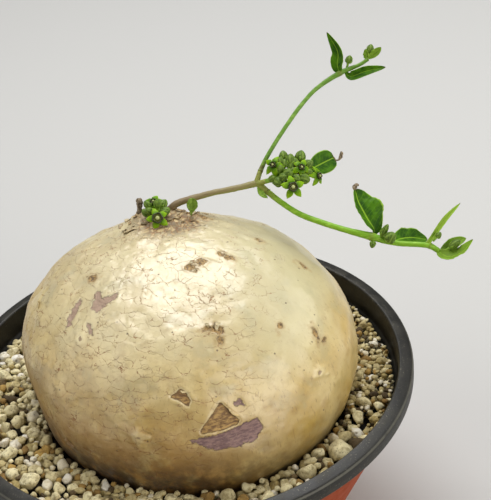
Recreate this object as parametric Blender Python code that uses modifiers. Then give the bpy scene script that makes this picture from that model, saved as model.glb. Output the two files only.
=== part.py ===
"""Potted raphionacme: a caudex plant in a low plastic pan of gravel.

Run with: blender --background --python part.py
World frame: metres, +Z up, origin at the middle of the pot's flat base.
Sizes and places are named in millimetres here and turned into metres as meshes are made.
"""
import math
import random

import bmesh
import bpy
from mathutils import Matrix, Vector

MM = 0.001
OBJECT_NAME = "potted raphionacme"

# Driving dimensions, in millimetres
GAP = 0.3                   # clearance between pieces that touch
POT_HEIGHT = 90.0
RIM_RADIUS = 105.0          # a 210 mm pan
MOUTH_RADIUS = 98.4
BASE_RADIUS = 60.0
WALL = 2.2
FLOOR = 2.0
WALL_SLOPE = 0.5            # outward travel per unit of height
LEDGE_HEIGHT = 77.0         # stacking ledge inside the wall
DRAIN_RADIUS = 4.0
DRAIN_RING = 34.0
TURN_STEPS = 60

GRAVEL_LEVEL = 78.6         # top of the bed that the stones stand out of
STONE_RINGS = (67.0, 75.8, 85.0, 91.4)
STONE_PITCH = 10.6
STONE_RADIUS = (4.9, 5.8)
STONE_FREE = 68.5           # a stone nearer the caudex's middle than this is left out
STONE_LIMIT = 95.6          # nothing of a stone reaches further out

CAUDEX_CENTRE = Vector((4.5, 0.0, 98.0))
CAUDEX_RADII = Vector((75.0, 74.0, 58.0))
CAUDEX_COLUMNS = 38
CAUDEX_ROWS = 22
# Swellings and hollows: azimuth, elevation, share of the radius, angle of reach
CAUDEX_LUMPS = (
    (150, 30, 0.050, 28), (125, 48, 0.012, 20), (188, -4, -0.050, 22),
    (-5, 4, 0.015, 30), (-72, -14, 0.035, 30), (210, -16, -0.030, 28),
)
CROWN_CENTRE = Vector((1.5, 33.0, 146.0))
CROWN_RADII = Vector((15.0, 14.0, 8.0))
# Old knobs on the skin: azimuth, elevation, radius
CAUDEX_KNOBS = ((-110, 12, 4.6), (-143, 43, 3.2), (-43, 16, 3.8))

BLADE = 0.7                 # thickness of a leaf
PETAL = 0.65                # thickness of a petal
LEAF_STATIONS = 7
STEM_SPAN = 2               # smoothed points in each span of a stem

# Stem routes: x, y, z and diameter
MAIN_STEM = (
    (3.0, 34.5, 148.5, 3.6), (6.5, 34.5, 153.5, 3.4), (11.5, 34.5, 156.2, 3.0),
    (25.5, 33.5, 159.0, 2.7), (36.0, 32.5, 160.2, 2.7), (45.5, 32.0, 161.5, 3.0),
)
FORK = (46.0, 32.0, 161.6)
FORK_UP = (FORK + (3.0,), (46.8, 32.8, 163.6, 2.4), (48.2, 34.5, 165.8, 2.2))
FORK_DOWN = (FORK + (3.0,), (47.8, 30.6, 160.3, 2.8), (50.0, 28.6, 158.6, 2.7))
FORK_FRONT = (FORK + (3.0,), (47.6, 30.6, 162.4, 2.4), (50.0, 29.0, 163.7, 2.2))
MAIN_BRACT = ((46.6, 31.4, 160.6), (47.0, 28.6, 158.4), (48.6, 26.2, 156.9))

UPPER_SHOOT = (
    (48.4, 34.75, 166.05, 2.2), (51.5, 38.2, 169.3, 2.0), (56.0, 42.5, 173.2, 1.9),
    (61.5, 47.2, 177.6, 1.9), (70.5, 54.5, 184.0, 1.9), (79.5, 60.0, 189.2, 1.9),
    (91.0, 63.5, 193.4, 2.4), (100.0, 64.5, 195.5, 1.7), (104.5, 65.5, 197.3, 1.8),
)
LOWER_SHOOT = (
    (50.25, 28.4, 158.4, 2.7), (55.0, 24.5, 154.8, 2.6), (62.5, 19.0, 150.4, 2.6),
    (72.0, 14.0, 147.2, 2.6), (81.0, 10.0, 144.5, 2.6), (92.0, 6.0, 141.5, 3.4),
    (102.0, 2.5, 138.6, 2.5), (112.0, 0.3, 137.4, 2.4), (116.5, -0.8, 136.6, 2.6),
    (120.0, -2.5, 134.4, 2.4),
)
FLOWER_AXIS = (
    (50.25, 28.85, 163.85, 2.2), (54.0, 27.6, 165.2, 2.1), (59.0, 28.0, 166.0, 2.2),
    (65.0, 29.5, 165.8, 1.8), (70.0, 31.5, 165.0, 1.4),
)
CROWN_AXIS = ((-1.0, 29.0, 148.5, 2.4), (-1.0, 28.6, 152.5, 2.3), (-1.0, 28.2, 155.2, 2.3))
DEAD_STUB = ((-7.5, 33.5, 149.0, 3.0), (-7.2, 34.2, 154.5, 2.7), (-6.7, 36.6, 159.2, 2.5))

# Leaves: midrib points, width, the way the upper face looks, widest share, fold
UPPER_LEAVES = (
    (((91.0, 63.5, 193.4), (90.4, 64.6, 197.4), (91.2, 66.6, 203.0), (87.6, 70.8, 211.0)),
     6.0, (-0.5, -0.8, 0.3), 0.45, 0.35),
    (((93.5, 63.8, 193.8), (95.6, 62.0, 191.8), (102.5, 59.2, 194.8), (111.0, 57.0, 196.6)),
     4.6, (0.1, -0.75, 0.65), 0.55, 0.45),
    (((104.0, 65.3, 197.0), (104.2, 66.2, 199.0), (104.0, 67.4, 201.6)),
     3.0, (-0.6, -0.7, 0.3), 0.50, 0.30),
    (((104.5, 65.5, 197.3), (107.8, 66.0, 199.6), (111.0, 66.2, 201.9)),
     3.4, (0.2, -0.8, 0.5), 0.55, 0.50),
)
UPPER_BUDS = (
    ((94.0, 64.2, 193.8), (96.9, 67.0, 199.8), 3.4),
    ((104.6, 65.6, 197.4), (107.0, 68.6, 203.0), 3.4),
)
LOWER_LEAVES = (
    (((92.5, 6.2, 141.8), (93.4, 8.4, 145.0), (91.0, 13.6, 151.6), (89.4, 19.0, 157.4),
      (88.4, 22.4, 159.4)), 14.0, (0.25, -0.78, 0.58), 0.50, 0.20),
    (((101.5, 3.4, 138.6), (104.5, 7.0, 139.8), (110.5, 9.6, 138.4), (117.5, 9.4, 134.8)),
     8.5, (0.1, -0.35, 0.93), 0.50, 0.25),
    (((116.0, -0.4, 136.9), (119.5, 1.6, 140.2), (125.5, 4.6, 145.4), (132.8, 8.4, 150.4)),
     3.6, (-0.45, -0.75, 0.45), 0.50, 0.40),
    (((119.0, -2.0, 135.0), (123.0, 0.6, 135.8), (128.5, 2.6, 137.0), (133.0, 3.8, 135.6)),
     6.4, (-0.2, -0.6, 0.8), 0.50, 0.30),
    (((119.4, -2.6, 134.6), (123.5, -6.6, 133.4), (129.5, -7.4, 135.4), (134.8, -5.6, 139.8)),
     6.6, (-0.35, 0.15, 0.9), 0.50, 0.35),
)
LOWER_BUDS = (
    ((94.4, 6.0, 141.6), (99.8, 8.2, 145.8), 2.8),
    ((97.6, 2.8, 139.8), (100.4, 0.0, 143.6), 4.8),
    ((92.6, 4.6, 140.6), (91.2, 2.8, 137.6), 2.8),
    ((116.8, -1.4, 136.8), (120.4, -0.8, 140.0), 2.8),
    ((121.0, -2.6, 134.6), (128.6, -2.6, 137.2), 5.2),
)
CLUSTER_LEAVES = (
    (((69.4, 31.2, 165.0), (73.5, 34.0, 165.6), (79.0, 37.5, 166.6), (84.2, 39.6, 166.2)),
     8.6, (-0.1, -0.75, 0.65), 0.45, 0.30),
)
CLUSTER_BUDS = (
    ((58.5, 28.2, 166.4), (59.6, 35.6, 173.2), 3.0), ((60.5, 28.4, 166.4), (63.0, 33.4, 172.8), 3.6),
    ((64.5, 29.6, 166.2), (67.6, 36.4, 171.4), 4.2), ((58.5, 27.8, 165.8), (60.8, 23.6, 168.8), 3.6),
    ((59.5, 27.8, 165.6), (63.2, 23.4, 164.6), 3.2), ((62.0, 28.4, 165.6), (67.6, 23.2, 163.8), 4.0),
    ((54.5, 27.6, 164.8), (56.0, 23.2, 163.4), 4.4),
)
CROWN_BUDS = (
    ((-0.6, 28.6, 154.6), (5.2, 33.4, 158.0), 2.8), ((-0.6, 28.2, 154.6), (5.6, 27.2, 157.4), 3.0),
    ((-1.4, 28.2, 154.6), (-6.4, 28.6, 158.4), 3.0),
)
CROWN_LEAF = ((14.6, 26.6, 148.0), (14.8, 27.0, 152.4), (15.8, 27.6, 155.6), (16.6, 28.2, 158.4))

# Open flowers: middle of the corolla, the way it faces, radius, turn, root of its stalk
FLOWERS = {
    "side_flower_left": ((54.0, 29.5, 171.0), (-0.35, -0.55, 0.76), 4.6, 10, (55.5, 27.8, 165.6)),
    "side_flower_back": ((66.6, 27.6, 171.6), (0.15, -0.70, 0.70), 4.3, 40, (62.5, 28.8, 166.0)),
    "side_flower_front": ((60.6, 17.2, 166.0), (0.00, -0.80, 0.60), 5.0, 20, (57.5, 27.6, 165.6)),
    "side_flower_right": ((74.0, 26.8, 163.6), (0.75, -0.55, 0.35), 4.4, 0, (65.0, 29.2, 165.4)),
    "crown_flower_front": ((0.0, 20.0, 158.6), (-0.05, -0.72, 0.69), 4.8, 30, (-1.0, 28.0, 154.8)),
    "crown_flower_back": ((-1.6, 35.0, 160.0), (-0.10, -0.35, 0.93), 4.6, 5, (-1.0, 28.6, 154.8)),
}
CALYX = 2.4                 # how far below the corolla its stalk ends in a small cup
COROLLA_POINTS = 25
CORONA_STEPS = 10
# Outline of the ring and knob in a flower: radius and height over the corolla
CORONA_PROFILE = (
    (0.0, 2.0), (0.55, 1.8), (0.75, 1.3), (0.95, 0.85), (1.35, 1.35), (1.85, 1.25),
    (2.05, 0.7), (1.75, 0.15), (0.0, 0.15),
)

# Colours as linear RGB, with a roughness
FINISHES = {
    "pot": ((0.035, 0.032, 0.026), 0.55),
    "gravel": ((0.50, 0.42, 0.26), 0.90),
    "caudex": ((0.74, 0.66, 0.44), 0.85),
    "main stem": ((0.27, 0.20, 0.12), 0.70),
    "leafy shoot": ((0.10, 0.28, 0.02), 0.50),
    "flower stalk": ((0.20, 0.33, 0.06), 0.55),
    "petal": ((0.30, 0.48, 0.02), 0.50),
    "corona": ((0.03, 0.03, 0.01), 0.45),
    "dead stub": ((0.30, 0.27, 0.22), 0.90),
}


def clear_scene():
    for item in list(bpy.data.objects):
        bpy.data.objects.remove(item, do_unlink=True)


def new_collection(name):
    group = bpy.data.collections.new(name)
    bpy.context.scene.collection.children.link(group)
    return group


def make_material(name):
    colour, roughness = FINISHES[name]
    surface = bpy.data.materials.new(name)
    surface.use_nodes = True
    shader = surface.node_tree.nodes["Principled BSDF"]
    shader.inputs["Base Color"].default_value = colour + (1.0,)
    shader.inputs["Roughness"].default_value = roughness
    shader.inputs["Metallic"].default_value = 0.0
    return surface


def add_mesh(name, bm, group, merge=True):
    """Turn a bmesh in millimetres into an object in metres."""
    if merge:
        bmesh.ops.remove_doubles(bm, verts=bm.verts, dist=1e-4)
    bmesh.ops.recalc_face_normals(bm, faces=bm.faces)
    bmesh.ops.scale(bm, vec=(MM, MM, MM), verts=bm.verts)
    mesh = bpy.data.meshes.new(name)
    bm.to_mesh(mesh)
    bm.free()
    item = bpy.data.objects.new(name, mesh)
    group.objects.link(item)
    return item


def bake_modifiers(item):
    """Keep the evaluated mesh and drop the modifiers."""
    graph = bpy.context.evaluated_depsgraph_get()
    mesh = bpy.data.meshes.new_from_object(item.evaluated_get(graph))
    item.modifiers.clear()
    item.data = mesh


def boolean(item, operation, tool=None, group=None):
    step = item.modifiers.new(operation.lower(), "BOOLEAN")
    step.operation = operation
    step.solver = "EXACT"
    if group is not None:
        step.operand_type = "COLLECTION"
        step.collection = group
    else:
        step.object = tool
    bake_modifiers(item)


def drop(items):
    for item in list(items):
        bpy.data.objects.remove(item, do_unlink=True)


def fuse(item, group):
    """One union joins the item with everything in the group, which is then removed."""
    boolean(item, "UNION", group=group)
    drop(group.objects)


def keep_largest(bm):
    """Drop loose scraps and fill sealed hollows: only the biggest shell stays."""
    unseen = set(bm.verts)
    shells = []
    while unseen:
        front = [unseen.pop()]
        shell = list(front)
        while front:
            vert = front.pop()
            for edge in vert.link_edges:
                other = edge.other_vert(vert)
                if other in unseen:
                    unseen.remove(other)
                    front.append(other)
                    shell.append(other)
        shells.append(shell)
    shells.sort(key=len)
    for shell in shells[:-1]:
        bmesh.ops.delete(bm, geom=shell, context="VERTS")


def finish(item, name, surface):
    """Weld hairline points, name the node and give it its one material."""
    bm = bmesh.new()
    bm.from_mesh(item.data)
    bmesh.ops.remove_doubles(bm, verts=bm.verts, dist=2e-6)
    bmesh.ops.dissolve_degenerate(bm, edges=bm.edges, dist=2e-6)
    keep_largest(bm)
    bmesh.ops.triangulate(bm, faces=bm.faces)
    bm.to_mesh(item.data)
    bm.free()
    item.name = name
    item.data.name = name
    item.data.materials.clear()
    item.data.materials.append(surface)
    for face in item.data.polygons:
        face.material_index = 0
    return item


def catmull(points, share, index):
    """A point on the smooth curve between points[index] and the next one."""
    last = len(points) - 1
    p0 = points[max(index - 1, 0)]
    p1 = points[index]
    p2 = points[min(index + 1, last)]
    p3 = points[min(index + 2, last)]
    t = share
    return [
        0.5 * (2 * b + (c - a) * t + (2 * a - 5 * b + 4 * c - d) * t * t
               + (3 * b - a - 3 * c + d) * t * t * t)
        for a, b, c, d in zip(p0, p1, p2, p3)
    ]


def smooth_route(points, per_span):
    route = []
    for index in range(len(points) - 1):
        for step in range(per_span):
            route.append(catmull(points, step / per_span, index))
    route.append(list(points[-1]))
    return route


def stations(points, count):
    """Evenly shared points along a smooth curve through the given ones."""
    spans = len(points) - 1
    out = []
    for step in range(count):
        place = step * spans / (count - 1)
        index = min(int(place), spans - 1)
        out.append(Vector(catmull(points, place - index, index)[:3]))
    return out


def tube(name, points, group, swell=0.0, per_span=STEM_SPAN, resolution=2):
    """A stem through points of x, y, z and diameter, as a bevelled curve made mesh."""
    curve = bpy.data.curves.new(name, "CURVE")
    curve.dimensions = "3D"
    curve.bevel_depth = MM
    curve.bevel_resolution = resolution
    curve.use_fill_caps = True
    route = smooth_route(points, per_span)
    line = curve.splines.new("POLY")
    line.points.add(len(route) - 1)
    for knot, (x, y, z, width) in zip(line.points, route):
        knot.co = (x * MM, y * MM, z * MM, 1.0)
        knot.radius = width / 2 + swell
    holder = bpy.data.objects.new(name, curve)
    group.objects.link(holder)
    graph = bpy.context.evaluated_depsgraph_get()
    mesh = bpy.data.meshes.new_from_object(holder.evaluated_get(graph))
    bpy.data.objects.remove(holder, do_unlink=True)
    bm = bmesh.new()
    bm.from_mesh(mesh)
    bmesh.ops.remove_doubles(bm, verts=bm.verts, dist=1e-7)
    bmesh.ops.recalc_face_normals(bm, faces=bm.faces)
    bm.to_mesh(mesh)
    bm.free()
    item = bpy.data.objects.new(name, mesh)
    group.objects.link(item)
    return item


def leaf(name, group, midrib, width, facing, widest=0.5, fold=0.3, thickness=BLADE):
    """A folded blade with pointed ends, split into triangles alike on both faces."""
    spine = stations(midrib, LEAF_STATIONS)
    facing = Vector(facing).normalized()
    shift = math.log(0.5) / math.log(widest)
    bm = bmesh.new()
    upper = []
    lower = []
    for index, point in enumerate(spine):
        t = index / (LEAF_STATIONS - 1)
        ahead = spine[min(index + 1, LEAF_STATIONS - 1)] - spine[max(index - 1, 0)]
        side = ahead.cross(facing).normalized()
        normal = side.cross(ahead).normalized()
        half = max(width / 2 * math.sin(math.pi * t ** shift) ** 0.8 if 0 < t < 1 else 0, 0.45)
        row_up = []
        row_down = []
        for across in (-1.0, -0.5, 0.0, 0.5, 1.0):
            place = point + side * (half * across) + normal * (half * fold * abs(across))
            row_up.append(bm.verts.new(place + normal * (thickness / 2)))
            row_down.append(bm.verts.new(place - normal * (thickness / 2)))
        upper.append(row_up)
        lower.append(row_down)
    close_sheet(bm, upper, lower)
    return add_mesh(name, bm, group, merge=False)


def close_sheet(bm, upper, lower):
    """Join two matching grids of points into one closed blade."""
    rows = len(upper)
    columns = len(upper[0])
    for r in range(rows - 1):
        for c in range(columns - 1):
            a, b = upper[r][c], upper[r][c + 1]
            d, e = upper[r + 1][c], upper[r + 1][c + 1]
            bm.faces.new((a, b, e))
            bm.faces.new((a, e, d))
            a, b = lower[r][c], lower[r][c + 1]
            d, e = lower[r + 1][c], lower[r + 1][c + 1]
            bm.faces.new((a, e, b))
            bm.faces.new((a, d, e))
    for r in range(rows - 1):
        for c in (0, columns - 1):
            bm.faces.new((upper[r][c], upper[r + 1][c], lower[r + 1][c], lower[r][c]))
    for r in (0, rows - 1):
        for c in range(columns - 1):
            bm.faces.new((upper[r][c], upper[r][c + 1], lower[r][c + 1], lower[r][c]))


def bud(name, group, root, tip, width, stalk=1.1):
    """A short stalk that ends in a ribbed, pointed bud."""
    root = Vector(root)
    tip = Vector(tip)
    along = (tip - root).normalized()
    length = min(width * 1.25, (tip - root).length * 0.85)
    neck = tip - along * (length * 0.8)
    parts = []
    if (neck - root).length > 0.6:
        parts.append(tube(name + "_stalk", (tuple(root) + (stalk,), tuple(neck) + (stalk,)),
                          group, per_span=1, resolution=1))
    bm = bmesh.new()
    bmesh.ops.create_uvsphere(bm, u_segments=8, v_segments=6, radius=1.0)
    for index, vert in enumerate(bm.verts):
        rib = 1.0 + 0.06 * math.cos(4 * math.atan2(vert.co.y, vert.co.x))
        taper = 1.0 - 0.25 * vert.co.z
        vert.co.x *= width / 2 * rib * taper
        vert.co.y *= width / 2 * rib * taper
        vert.co.z *= length / 2
    turn = along.to_track_quat("Z", "Y").to_matrix().to_4x4()
    bmesh.ops.transform(bm, matrix=Matrix.Translation(tip - along * length / 2) @ turn,
                        verts=bm.verts)
    parts.append(add_mesh(name, bm, group, merge=False))
    return parts


def turned(name, profile, steps, group):
    """Spin a profile of radius and height about the Z axis with a Screw modifier."""
    bm = bmesh.new()
    points = [bm.verts.new((r * MM, 0.0, z * MM)) for r, z in profile]
    for first, second in zip(points, points[1:]):
        bm.edges.new((first, second))
    mesh = bpy.data.meshes.new(name)
    bm.to_mesh(mesh)
    bm.free()
    item = bpy.data.objects.new(name, mesh)
    group.objects.link(item)
    screw = item.modifiers.new("turn", "SCREW")
    screw.steps = steps
    screw.render_steps = steps
    screw.use_merge_vertices = True
    screw.merge_threshold = 0.00002
    screw.use_normal_calculate = True
    bake_modifiers(item)
    return item


def outer_radius(z):
    return BASE_RADIUS + WALL_SLOPE * z


def make_pot(group, scrap, surface):
    """The pan: a flat floor with drain holes, a flared wall and a rolled rim."""
    ledge_radius = outer_radius(LEDGE_HEIGHT) - WALL
    profile = (
        (0.0, FLOOR),
        (outer_radius(FLOOR) - WALL, FLOOR),
        (ledge_radius, LEDGE_HEIGHT),
        (ledge_radius + 1.4, LEDGE_HEIGHT + 1.2),
        (MOUTH_RADIUS - 0.1, POT_HEIGHT - 0.8),
        (MOUTH_RADIUS + 0.6, POT_HEIGHT),
        (RIM_RADIUS - 0.9, POT_HEIGHT - 1.4),
        (RIM_RADIUS, POT_HEIGHT - 2.4),
        (RIM_RADIUS - 0.2, POT_HEIGHT - 8.0),
        (RIM_RADIUS - 1.3, POT_HEIGHT - 8.2),
        (RIM_RADIUS - 1.6, POT_HEIGHT - 5.2),
        (RIM_RADIUS - 2.8, POT_HEIGHT - 5.2),
        (outer_radius(POT_HEIGHT - 8.2), POT_HEIGHT - 8.2),
        (outer_radius(1.2), 1.2),
        (BASE_RADIUS - 1.0, 0.0),
        (0.0, 0.0),
    )
    pot = turned("pot", profile, TURN_STEPS, group)
    for index in range(4):
        angle = math.radians(45 + 90 * index)
        bm = bmesh.new()
        place = Matrix.Translation((DRAIN_RING * math.cos(angle), DRAIN_RING * math.sin(angle), 1))
        bmesh.ops.create_cone(bm, cap_ends=True, segments=16, radius1=DRAIN_RADIUS,
                              radius2=DRAIN_RADIUS, depth=8.0, matrix=place)
        add_mesh("drain_%d" % index, bm, scrap)
    boolean(pot, "DIFFERENCE", group=scrap)
    drop(scrap.objects)
    finish(pot, "pot", surface)


def caudex_body(name, group, grow=0.0):
    """A squat swollen root: an ellipsoid with soft lumps, larger by grow all round."""
    bm = bmesh.new()
    bmesh.ops.create_uvsphere(bm, u_segments=CAUDEX_COLUMNS, v_segments=CAUDEX_ROWS, radius=1.0)
    lumps = []
    for azimuth, elevation, share, reach in CAUDEX_LUMPS:
        a, e = math.radians(azimuth), math.radians(elevation)
        heading = Vector((math.cos(e) * math.cos(a), math.cos(e) * math.sin(a), math.sin(e)))
        lumps.append((heading, share, math.radians(reach)))
    for vert in bm.verts:
        ray = vert.co.normalized()
        scale = 1.0
        for heading, share, reach in lumps:
            scale += share * math.exp(-(ray.angle(heading) / reach) ** 2)
        stretch = CAUDEX_RADII * scale + Vector((grow, grow, grow))
        vert.co = CAUDEX_CENTRE + Vector((ray.x * stretch.x, ray.y * stretch.y, ray.z * stretch.z))
    return add_mesh(name, bm, group, merge=False)


def skin_point(azimuth, elevation):
    """A point on the plain ellipsoid of the caudex."""
    a, e = math.radians(azimuth), math.radians(elevation)
    return CAUDEX_CENTRE + Vector((
        CAUDEX_RADII.x * math.cos(e) * math.cos(a),
        CAUDEX_RADII.y * math.cos(e) * math.sin(a),
        CAUDEX_RADII.z * math.sin(e),
    ))


def add_lump(name, group, centre, radii, columns=10, rows=6):
    bm = bmesh.new()
    bmesh.ops.create_uvsphere(bm, u_segments=columns, v_segments=rows, radius=1.0)
    bmesh.ops.scale(bm, vec=radii, verts=bm.verts)
    bmesh.ops.translate(bm, vec=centre, verts=bm.verts)
    return add_mesh(name, bm, group, merge=False)


def make_caudex(group, scrap, surface):
    """The swollen root with its crown, three knobs and plain holes for what grows out."""
    caudex = caudex_body("caudex", group)
    add_lump("crown", scrap, CROWN_CENTRE, CROWN_RADII, 18, 10)
    for index, (azimuth, elevation, radius) in enumerate(CAUDEX_KNOBS):
        place = CAUDEX_CENTRE.lerp(skin_point(azimuth, elevation), 0.985)
        add_lump("knob_%d" % index, scrap, place, (radius, radius, radius * 0.9), 10, 6)
    fuse(caudex, scrap)
    tube("stem_hole", MAIN_STEM[:4], scrap, swell=GAP)
    tube("crown_hole", CROWN_AXIS, scrap, swell=GAP)
    tube("stub_hole", DEAD_STUB, scrap, swell=GAP)
    tube("leaf_hole", tuple(p + (2.6,) for p in CROWN_LEAF[:3]), scrap, swell=GAP)
    for hole in list(scrap.objects):
        lengthen_below(hole)
    boolean(caudex, "DIFFERENCE", group=scrap)
    drop(scrap.objects)
    finish(caudex, "caudex", surface)


def lengthen_below(hole):
    """Push the lowest ring of a cutter down, so the stem's end is clear too."""
    lowest = min(vert.co.z for vert in hole.data.vertices)
    for vert in hole.data.vertices:
        if vert.co.z < lowest + 2.6 * MM:
            vert.co.z -= 2 * GAP * MM


def stone(name, group, place, radius, dice):
    """One angular chip: a block with its corners pushed in and out."""
    bm = bmesh.new()
    bmesh.ops.create_cube(bm, size=radius * 1.35)
    bmesh.ops.triangulate(bm, faces=bm.faces)
    stretch = Vector((dice.uniform(0.9, 1.2), dice.uniform(0.8, 1.05), dice.uniform(0.75, 0.95)))
    for vert in bm.verts:
        push = dice.uniform(0.80, 1.12)
        vert.co = Vector((vert.co.x * stretch.x, vert.co.y * stretch.y, vert.co.z * stretch.z)) * push
    turn = Matrix.Rotation(dice.uniform(0, math.tau), 4, "Z") @ Matrix.Rotation(
        dice.uniform(0.3, 1.1), 4, "X")
    bmesh.ops.transform(bm, matrix=Matrix.Translation(place) @ turn, verts=bm.verts)
    for vert in bm.verts:
        flat = math.hypot(vert.co.x, vert.co.y)
        limit = min(STONE_LIMIT, outer_radius(vert.co.z) - WALL - 2 * GAP)
        if flat > limit:
            vert.co.x *= limit / flat
            vert.co.y *= limit / flat
    return add_mesh(name, bm, group, merge=False)


def make_gravel(group, scrap, surface):
    """The bed that fills the pan, with stones standing out of it, hollowed for the caudex."""
    side = outer_radius(LEDGE_HEIGHT) - WALL - GAP - 0.2
    foot = outer_radius(FLOOR + GAP) - WALL - GAP - 0.2
    profile = ((0.0, GRAVEL_LEVEL), (side, GRAVEL_LEVEL), (side, LEDGE_HEIGHT),
               (foot, FLOOR + GAP), (0.0, FLOOR + GAP))
    gravel = turned("gravel", profile, TURN_STEPS, group)
    dice = random.Random(11)
    for ring, ring_radius in enumerate(STONE_RINGS):
        count = int(math.tau * ring_radius / STONE_PITCH)
        for index in range(count):
            angle = math.tau * (index + 0.5 * (ring % 2) + dice.uniform(-0.2, 0.2)) / count
            reach = ring_radius + dice.uniform(-1.2, 1.2)
            place = Vector((reach * math.cos(angle), reach * math.sin(angle),
                            GRAVEL_LEVEL + dice.uniform(-0.6, 1.4)))
            if (place - CAUDEX_CENTRE).xy.length < STONE_FREE:
                continue
            stone("stone", scrap, place, dice.uniform(*STONE_RADIUS), dice)
    fuse(gravel, scrap)
    hollow = caudex_body("hollow", scrap, grow=GAP + 0.05)
    boolean(gravel, "DIFFERENCE", tool=hollow)
    drop(scrap.objects)
    finish(gravel, "gravel", surface)


def make_main_stem(group, scrap, surface):
    """The woody stem with its three short forks and a small bract."""
    stem = tube("main_stem", MAIN_STEM + (FORK + (3.0,),), group)
    for index, branch in enumerate((FORK_UP, FORK_DOWN, FORK_FRONT)):
        tube("fork_%d" % index, branch, scrap)
    add_lump("joint", scrap, Vector(FORK), (1.9, 1.8, 1.9), 8, 6)
    leaf("bract", scrap, MAIN_BRACT, 2.6, (0.3, -0.9, 0.1), 0.4, 0.3)
    fuse(stem, scrap)
    finish(stem, "main_stem", surface)


def make_shoot(name, route, leaves, buds, group, scrap, surface):
    """A leafy shoot: its stem with leaves and buds fused on."""
    shoot = tube(name, route, group)
    for index, (midrib, width, facing, widest, fold) in enumerate(leaves):
        leaf("leaf_%d" % index, scrap, midrib, width, facing, widest, fold)
    for index, (root, tip, width) in enumerate(buds):
        bud("bud_%d" % index, scrap, root, tip, width)
    fuse(shoot, scrap)
    finish(shoot, name, surface)


def make_flower_stalks(name, axis, flowers, leaves, buds, group, scrap, surface):
    """A bunch of stalks with its buds, its leaf and a cup under each open flower."""
    bunch = tube(name, axis, group)
    for index, (root, tip, width) in enumerate(buds):
        bud("bud_%d" % index, scrap, root, tip, width)
    for index, (midrib, width, facing, widest, fold) in enumerate(leaves):
        leaf("leaf_%d" % index, scrap, midrib, width, facing, widest, fold)
    for key in flowers:
        middle, facing, _radius, _turn, root = FLOWERS[key]
        ahead = Vector(facing).normalized()
        back = Vector(middle) - ahead * (PETAL / 2 + GAP)
        neck = back - ahead * CALYX
        tube(key + "_stalk", (tuple(root) + (1.2,), tuple(neck) + (1.2,)), scrap,
             per_span=1, resolution=1)
        tube(key + "_cup", (tuple(neck - ahead * 0.3) + (1.0,), tuple(back - ahead * 1.1) + (2.2,),
                            tuple(back) + (2.4,)), scrap, per_span=1)
    fuse(bunch, scrap)
    finish(bunch, name, surface)


def make_corolla(name, group, middle, facing, radius, turn, surface):
    """Five rounded petals that bend back from one middle, as one thin closed star."""
    bm = bmesh.new()
    shares = (0.30, 0.70, 1.0)
    half = PETAL / 2
    centre_up = bm.verts.new((0, 0, half))
    centre_down = bm.verts.new((0, 0, -half))
    up_rings = []
    down_rings = []
    for share in shares:
        ring_up = []
        ring_down = []
        for index in range(COROLLA_POINTS):
            angle = math.tau * index / COROLLA_POINTS
            lobe = abs(math.cos(2.5 * angle)) ** 0.7
            reach = radius * (0.36 + (0.64 * lobe)) * share if share > 0.4 else radius * share
            dip = -0.16 * radius * (reach / radius) ** 2 + 0.07 * radius * share * lobe
            x, y = reach * math.cos(angle), reach * math.sin(angle)
            ring_up.append(bm.verts.new((x, y, dip + half)))
            ring_down.append(bm.verts.new((x, y, dip - half)))
        up_rings.append(ring_up)
        down_rings.append(ring_down)
    for index in range(COROLLA_POINTS):
        after = (index + 1) % COROLLA_POINTS
        bm.faces.new((centre_up, up_rings[0][index], up_rings[0][after]))
        bm.faces.new((centre_down, down_rings[0][after], down_rings[0][index]))
        for inner in range(len(shares) - 1):
            a, b = up_rings[inner][index], up_rings[inner + 1][index]
            c, d = up_rings[inner + 1][after], up_rings[inner][after]
            bm.faces.new((a, b, c))
            bm.faces.new((a, c, d))
            a, b = down_rings[inner][index], down_rings[inner + 1][index]
            c, d = down_rings[inner + 1][after], down_rings[inner][after]
            bm.faces.new((a, c, b))
            bm.faces.new((a, d, c))
        bm.faces.new((up_rings[-1][index], down_rings[-1][index],
                      down_rings[-1][after], up_rings[-1][after]))
    bmesh.ops.transform(bm, matrix=flower_frame(middle, facing, turn), verts=bm.verts)
    finish(add_mesh(name, bm, group, merge=False), name, surface)


def flower_frame(middle, facing, turn):
    aim = Vector(facing).normalized().to_track_quat("Z", "Y").to_matrix().to_4x4()
    return Matrix.Translation(middle) @ aim @ Matrix.Rotation(math.radians(turn), 4, "Z")


def make_corona(name, group, middle, facing, turn, surface):
    """The ring and knob that stand in the middle of a flower."""
    lift = PETAL / 2 + GAP - CORONA_PROFILE[-1][1]
    item = turned(name, [(r, z + lift) for r, z in CORONA_PROFILE], CORONA_STEPS, group)
    frame = flower_frame(Vector(middle) * MM, facing, turn)
    item.data.transform(frame)
    finish(item, name, surface)


def make_dead_stub(group, surface):
    finish(tube("dead_stub", DEAD_STUB, group), "dead_stub", surface)


def make_crown_leaf(group, scrap, surface):
    """A young leaf beside the stem, on its own short stalk in the crown."""
    sprout = tube("crown_leaf", tuple(p + (1.4,) for p in CROWN_LEAF[:2]), group, per_span=1)
    leaf("blade", scrap, CROWN_LEAF[1:], 4.6, (0.0, -0.85, 0.5), 0.5, 0.25)
    fuse(sprout, scrap)
    finish(sprout, "crown_leaf", surface)


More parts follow.
